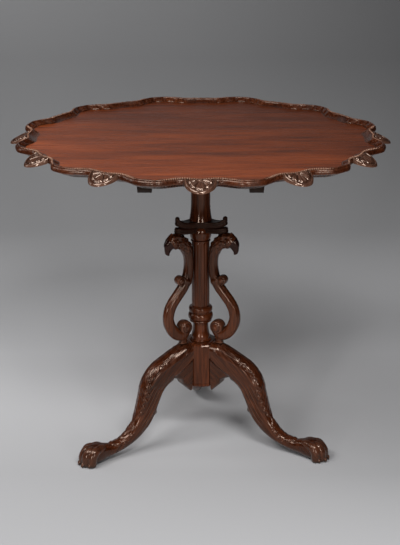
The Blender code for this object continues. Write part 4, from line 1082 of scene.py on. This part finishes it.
def strap():
    """Grid of the strap from the eye of the foot's scroll to the tip of the beak."""
    stations = []
    for inner, rows in ((LOWER_RING[0], VOLUTE_STATIONS), (REED_RADIUS, NECK_STATIONS)):
        for offset, share, half in rows:
            stations.append((inner + GAP + offset, BRACKET_SEAT + BRACKET_RISE * share, half))
    run = spline(stations, STRAP_STEPS)
    place = (np.arange(len(run)) / STRAP_STEPS)[:, None]
    line, width = run[:, :2], run[:, 2:3]
    along = run_length(norm(np.diff(line, axis=0), axis=1))[:, None]
    ahead = headings(line)
    angle = full_turn(STRAP_SIDES)
    head = smooth((place - CREST_START) / 2)
    power = 2 / (2.5 - 0.3 * head)
    across, side = squared(np.cos(angle), power), squared(np.sin(angle), power)
    filled = np.minimum(1, width / STRAP_FULL_WIDTH)
    thin = STRAP_LEAST_THICKNESS + (1 - STRAP_LEAST_THICKNESS) * filled
    thin = BRACKET_THICKNESS / 2 * thin
    half = thin * (1 - 0.5 * smooth((place - BEAK_STATION + 0.6) / 3))
    x = line[:, :1] - ahead[:, 1:] * width * across
    z = line[:, 1:] + ahead[:, :1] * width * across
    grid = np.stack([x, half * side, z], 2)
    return raised(grid, strap_relief(place, along, angle, across, side)), place


def strap_relief(place, along, angle, across, side):
    """Moulded sides on the strap, feathers on the neck, and brow, eye sockets and beak."""
    def reached(station):
        return np.interp(station, place[:, 0], along[:, 0])

    feathered = between(place, NECK_START, BEAK_STATION, 1.2, 0.4)
    moulded = smooth(place / 2) * (1 - feathered)
    moulded = moulded * smooth((BEAK_STATION - place) / 0.5)
    height = -STRAP_GROOVE * hump(np.abs(across), 0.86, 0.07) * (np.abs(side) > 0.2) * moulded
    height += FEATHER_RISE * feathers(along, angle / (2 * pi)) * feathered
    rise, half = KNUCKLE_COLLAR
    height += rise * hump(along, reached(KNUCKLE_STATION), half)
    beak = reached(BEAK_STATION)
    past_eye = along - reached(EYE_STATION)
    lift = np.abs(np.degrees(np.arctan2(np.sin(angle), np.cos(angle))))
    tooth = ((beak - along) / CREST_TOOTH) % 1
    crest = between(place, CREST_START, BEAK_STATION - 0.3, 0.8, 0.4)
    height += CREST_RISE * tooth ** 1.5 * hump(lift, 0, CREST_DEGREES) * crest
    for rise, ahead, length, degrees, spread in FACE_HUMPS:
        height += rise * hump(past_eye, ahead, length) * hump(lift, degrees, spread)
    rise, half = BEAK_RIDGE
    height += rise * hump(along, beak, half)
    return height - MOUTH_DEPTH * hump(lift, *MOUTH_DEGREES) * smooth(past_eye / MOUTH_START)


def scroll(x, rise_share, radius, proud):
    """Rolled end of a scroll across the bracket, with domed faces and a fine ring round each."""
    z = BRACKET_SEAT + BRACKET_RISE * rise_share
    half = BRACKET_THICKNESS / 2 + proud
    profile = [(radius * share, half + lift) for share, lift in SCROLL_FACE]
    profile += [(radius * share, -half - lift) for share, lift in SCROLL_FACE[::-1]]
    grid = round_grid(profile, SCROLL_SIDES)
    return np.stack([grid[..., 0] + x, grid[..., 2], grid[..., 1] + z], 2)


def foot_pad():
    """Small waisted block on which the foot's scroll stands."""
    angles = full_turn(PAD_SIDES)
    x, y = squared(np.cos(angles), PAD_POWER), squared(np.sin(angles), PAD_POWER)
    rows = []
    for half, z in PAD_ROWS:
        level = np.full(PAD_SIDES, BRACKET_SEAT + z)
        rows.append(np.stack([PAD_MIDDLE + half * x, PAD_DEPTH * half * y, level], 1))
    return rows


def eyeballs(grid, place):
    """Two round eyes, seated in their sockets."""
    row = int(np.argmin(np.abs(place[:, 0] - EYE_STATION)))
    ball = round_grid(arc((0, 0), (EYE_RADIUS, EYE_RADIUS), 85, -85, 8), 14)
    for degrees in (EYE_DEGREES, 360 - EYE_DEGREES):
        yield ball + grid[row, round(degrees / 360 * STRAP_SIDES)]


def brackets():
    grid, place = strap()
    grid[..., 2] = np.maximum(grid[..., 2], BRACKET_SEAT)
    shape = Shape(grid, *(scroll(*end) for end in SCROLLS), foot_pad(), *eyeballs(grid, place))
    data = shape.mesh("bracket_carved", SCROLL_WOOD, 55)
    data.materials.append(BEAK_WOOD)
    first = int(np.argmin(np.abs(place[:, 0] - BEAK_STATION))) * STRAP_SIDES
    last = len(place) * STRAP_SIDES + 1
    for face in data.polygons:
        if first <= min(face.vertices) and max(face.vertices) <= last:
            face.material_index = 1
    on_each_leg("eagle_bracket", data)


# Plain pieces keep their solids, with eased edges and a finish

DOWELS = [f"bracket_{end}_dowel_{leg + 1}" for leg in range(LEGS) for end in ("neck", "foot")]
PLAIN_FINISHES = (
    (("bearer_left", "bearer_right"), UNDER_SHADED_WOOD, 0.005),
    (("pillar_block",), UNDER_SHADED_WOOD, 0.0012),
    (("pivot_dowel_left", "pivot_dowel_right"), PILLAR_WOOD, 0.0008),
    (("block_wedge",), UNDER_SHADED_WOOD, 0.0003),
    (("catch_case", "keeper_plate", "catch_bolt"), BRASS, 0.0004),
    (("catch_screw_1", "catch_screw_2", "keeper_screw_1", "keeper_screw_2"), BRASS, 0.0003),
    ([f"bearer_screw_{i}" for i in range(1, 7)] + ["catch_spring"], STEEL, 0.0002),
    (DOWELS, UNDER_SHADED_WOOD, 0.0003),
)
WELD_DISTANCE = 0.00002
EASED_ANGLE = radians(40)


def fittings():
    """Gives CAD nodes their finish and eases their sharp edges, with their own meshes kept."""
    for names, material, ease in PLAIN_FINISHES:
        for name in names:
            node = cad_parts[name]
            node.material_slots[0].material = material
            weld = node.modifiers.new("weld", "WELD")
            weld.merge_threshold = WELD_DISTANCE
            bevel = node.modifiers.new("ease", "BEVEL")
            bevel.width = ease
            bevel.segments = 2
            bevel.limit_method = "ANGLE"
            bevel.angle_limit = EASED_ANGLE


# Camera, stage and lights

FLOOR_FRONT = -6.0
FLOOR_BACK = 1.6
SWEEP_RADIUS = 1.4
SWEEP_HEIGHT = 5.0
SWEEP_HALF_WIDTH = 4.0
SWEEP_STEPS = 24
PAPER_FRONT = -1.5
PAPER_BACK = 3.1
PAPER_SIDE = 0.8
PAPER_BLUE = 1.02
# Painted light and shade on the paper by depth, on the left and on the right, where the lamps'
# light falls off
PAPER_PAINTED_LIGHT = (
    (-1.0, 0.38, 0.65), (-0.2, 0.47, 0.41), (0.5, 0.68, 0.7), (1.4, 0.53, 0.5),
    (2.6, 0.38, 0.21), (3.0, 0.49, 0.21),
)
# Painted shade: the paper darkens far out to the sides, as if unlit
POOL_EDGE = 1.0
POOL_FADE = 1.0
POOL_DARK = 0.88
# Lamps by their place, width, height and power
LAMPS = (
    ("lamp_left", (-1.25, -1.15, 2.35), 1.5, 1.1, 46),
    ("lamp_front", (0.5, -1.95, 2.45), 0.9, 0.55, 40),
    ("lamp_above", (0.3, -0.4, 3.3), 2.4, 2.4, 6),
    ("lamp_right", (1.15, -3.4, 1.0), 0.35, 0.6, 18),
    ("lamp_low", (-1.2, -3.3, 0.85), 0.22, 0.7, 18),
    ("lamp_side", (-1.9, 0.15, 1.3), 0.25, 1.2, 4),
)
AIM = (0, 0, 0.45)
WORLD_GLOW = (0.012, 0.012, 0.0125, 1)


def camera():
    data = bpy.data.cameras.new("camera")
    data.sensor_width = SENSOR
    data.lens = FOCAL_PIXELS * SENSOR / PHOTO_HEIGHT
    data.shift_x = SHIFT_PIXELS / PHOTO_HEIGHT
    data.clip_end = 100
    eye = add_object("camera", data)
    eye.location = EYE
    eye.rotation_euler = (pi / 2 - EYE_PITCH, 0, 0)
    bpy.context.scene.camera = eye


def paper():
    """Grey paper with painted light and shade by depth and from side to side, painted dark far out,
    and clear from behind.
    """
    material, tree, shader = new_material("paper", Roughness=0.9)
    place = add_node(tree, "TexCoord", "Object")
    split = add_node(tree, "SeparateXYZ", Vector=place).node.outputs
    depth = ranged(split["Y"], PAPER_FRONT, PAPER_BACK)
    sides = []
    for column in (1, 2):
        stops = []
        for row in PAPER_PAINTED_LIGHT:
            shade = row[column]
            share = (row[0] - PAPER_FRONT) / (PAPER_BACK - PAPER_FRONT)
            stops.append((share, (shade, shade, shade * PAPER_BLUE)))
        sides.append(ramp(depth, *stops))
    colour = blend("MIX", ranged(split["X"], -PAPER_SIDE, PAPER_SIDE), *sides)
    aside = add_node(tree, "Math", operation="ABSOLUTE", Value=split["X"])
    fade = ranged(aside, POOL_EDGE, POOL_EDGE + POOL_FADE, "SMOOTHSTEP")
    colour = blend("MULTIPLY", fade, colour, (*grey(1 - POOL_DARK), 1))
    fill(shader, **{"Base Color": colour, "Specular IOR Level": 0.1})
    behind = add_node(tree, "NewGeometry", "Backfacing")
    one_sided = add_node(tree, "MixShader", Fac=behind)
    plug(one_sided.node.inputs[1], shader.outputs[0])
    plug(one_sided.node.inputs[2], add_node(tree, "BsdfTransparent"))
    fill(tree.nodes["Material Output"], Surface=one_sided)
    return material


def stage():
    """Sweep of paper that runs from the floor up into a backdrop."""
    path = [(FLOOR_FRONT, 0.0), (FLOOR_BACK, 0.0)]
    for i in range(1, SWEEP_STEPS + 1):
        a = pi / 2 * i / SWEEP_STEPS
        path.append((FLOOR_BACK + SWEEP_RADIUS * sin(a), SWEEP_RADIUS * (1 - cos(a))))
    path.append((FLOOR_BACK + SWEEP_RADIUS, SWEEP_HEIGHT))
    shape = Shape()
    shape.verts = [(x, y, z) for y, z in path for x in (-SWEEP_HALF_WIDTH, SWEEP_HALF_WIDTH)]
    shape.faces = [(2 * i, 2 * i + 1, 2 * i + 3, 2 * i + 2) for i in range(len(path) - 1)]
    data = shape.mesh("sweep", paper())
    if data.polygons[0].normal.z < 0:
        data.flip_normals()
    sweep = add_object("sweep", data)


def lights():
    for name, place, width, height, power in LAMPS:
        data = bpy.data.lights.new(name, "AREA")
        data.shape = "RECTANGLE"
        data.size = width
        data.size_y = height
        data.energy = power
        lamp = add_object(name, data)
        lamp.location = place
        lamp.rotation_euler = (Vector(AIM) - Vector(place)).to_track_quat("-Z", "Y").to_euler()
    world = bpy.data.worlds.new("studio")
    world.use_nodes = True
    fill(world.node_tree.nodes["Background"], Color=WORLD_GLOW)
    bpy.context.scene.world = world
    bpy.context.scene.view_settings.view_transform = "Standard"


top()
beading()
shells()
upper_shaft()
capital()
lower_shaft()
hub()
legs()
brackets()
fittings()
camera()
stage()
lights()
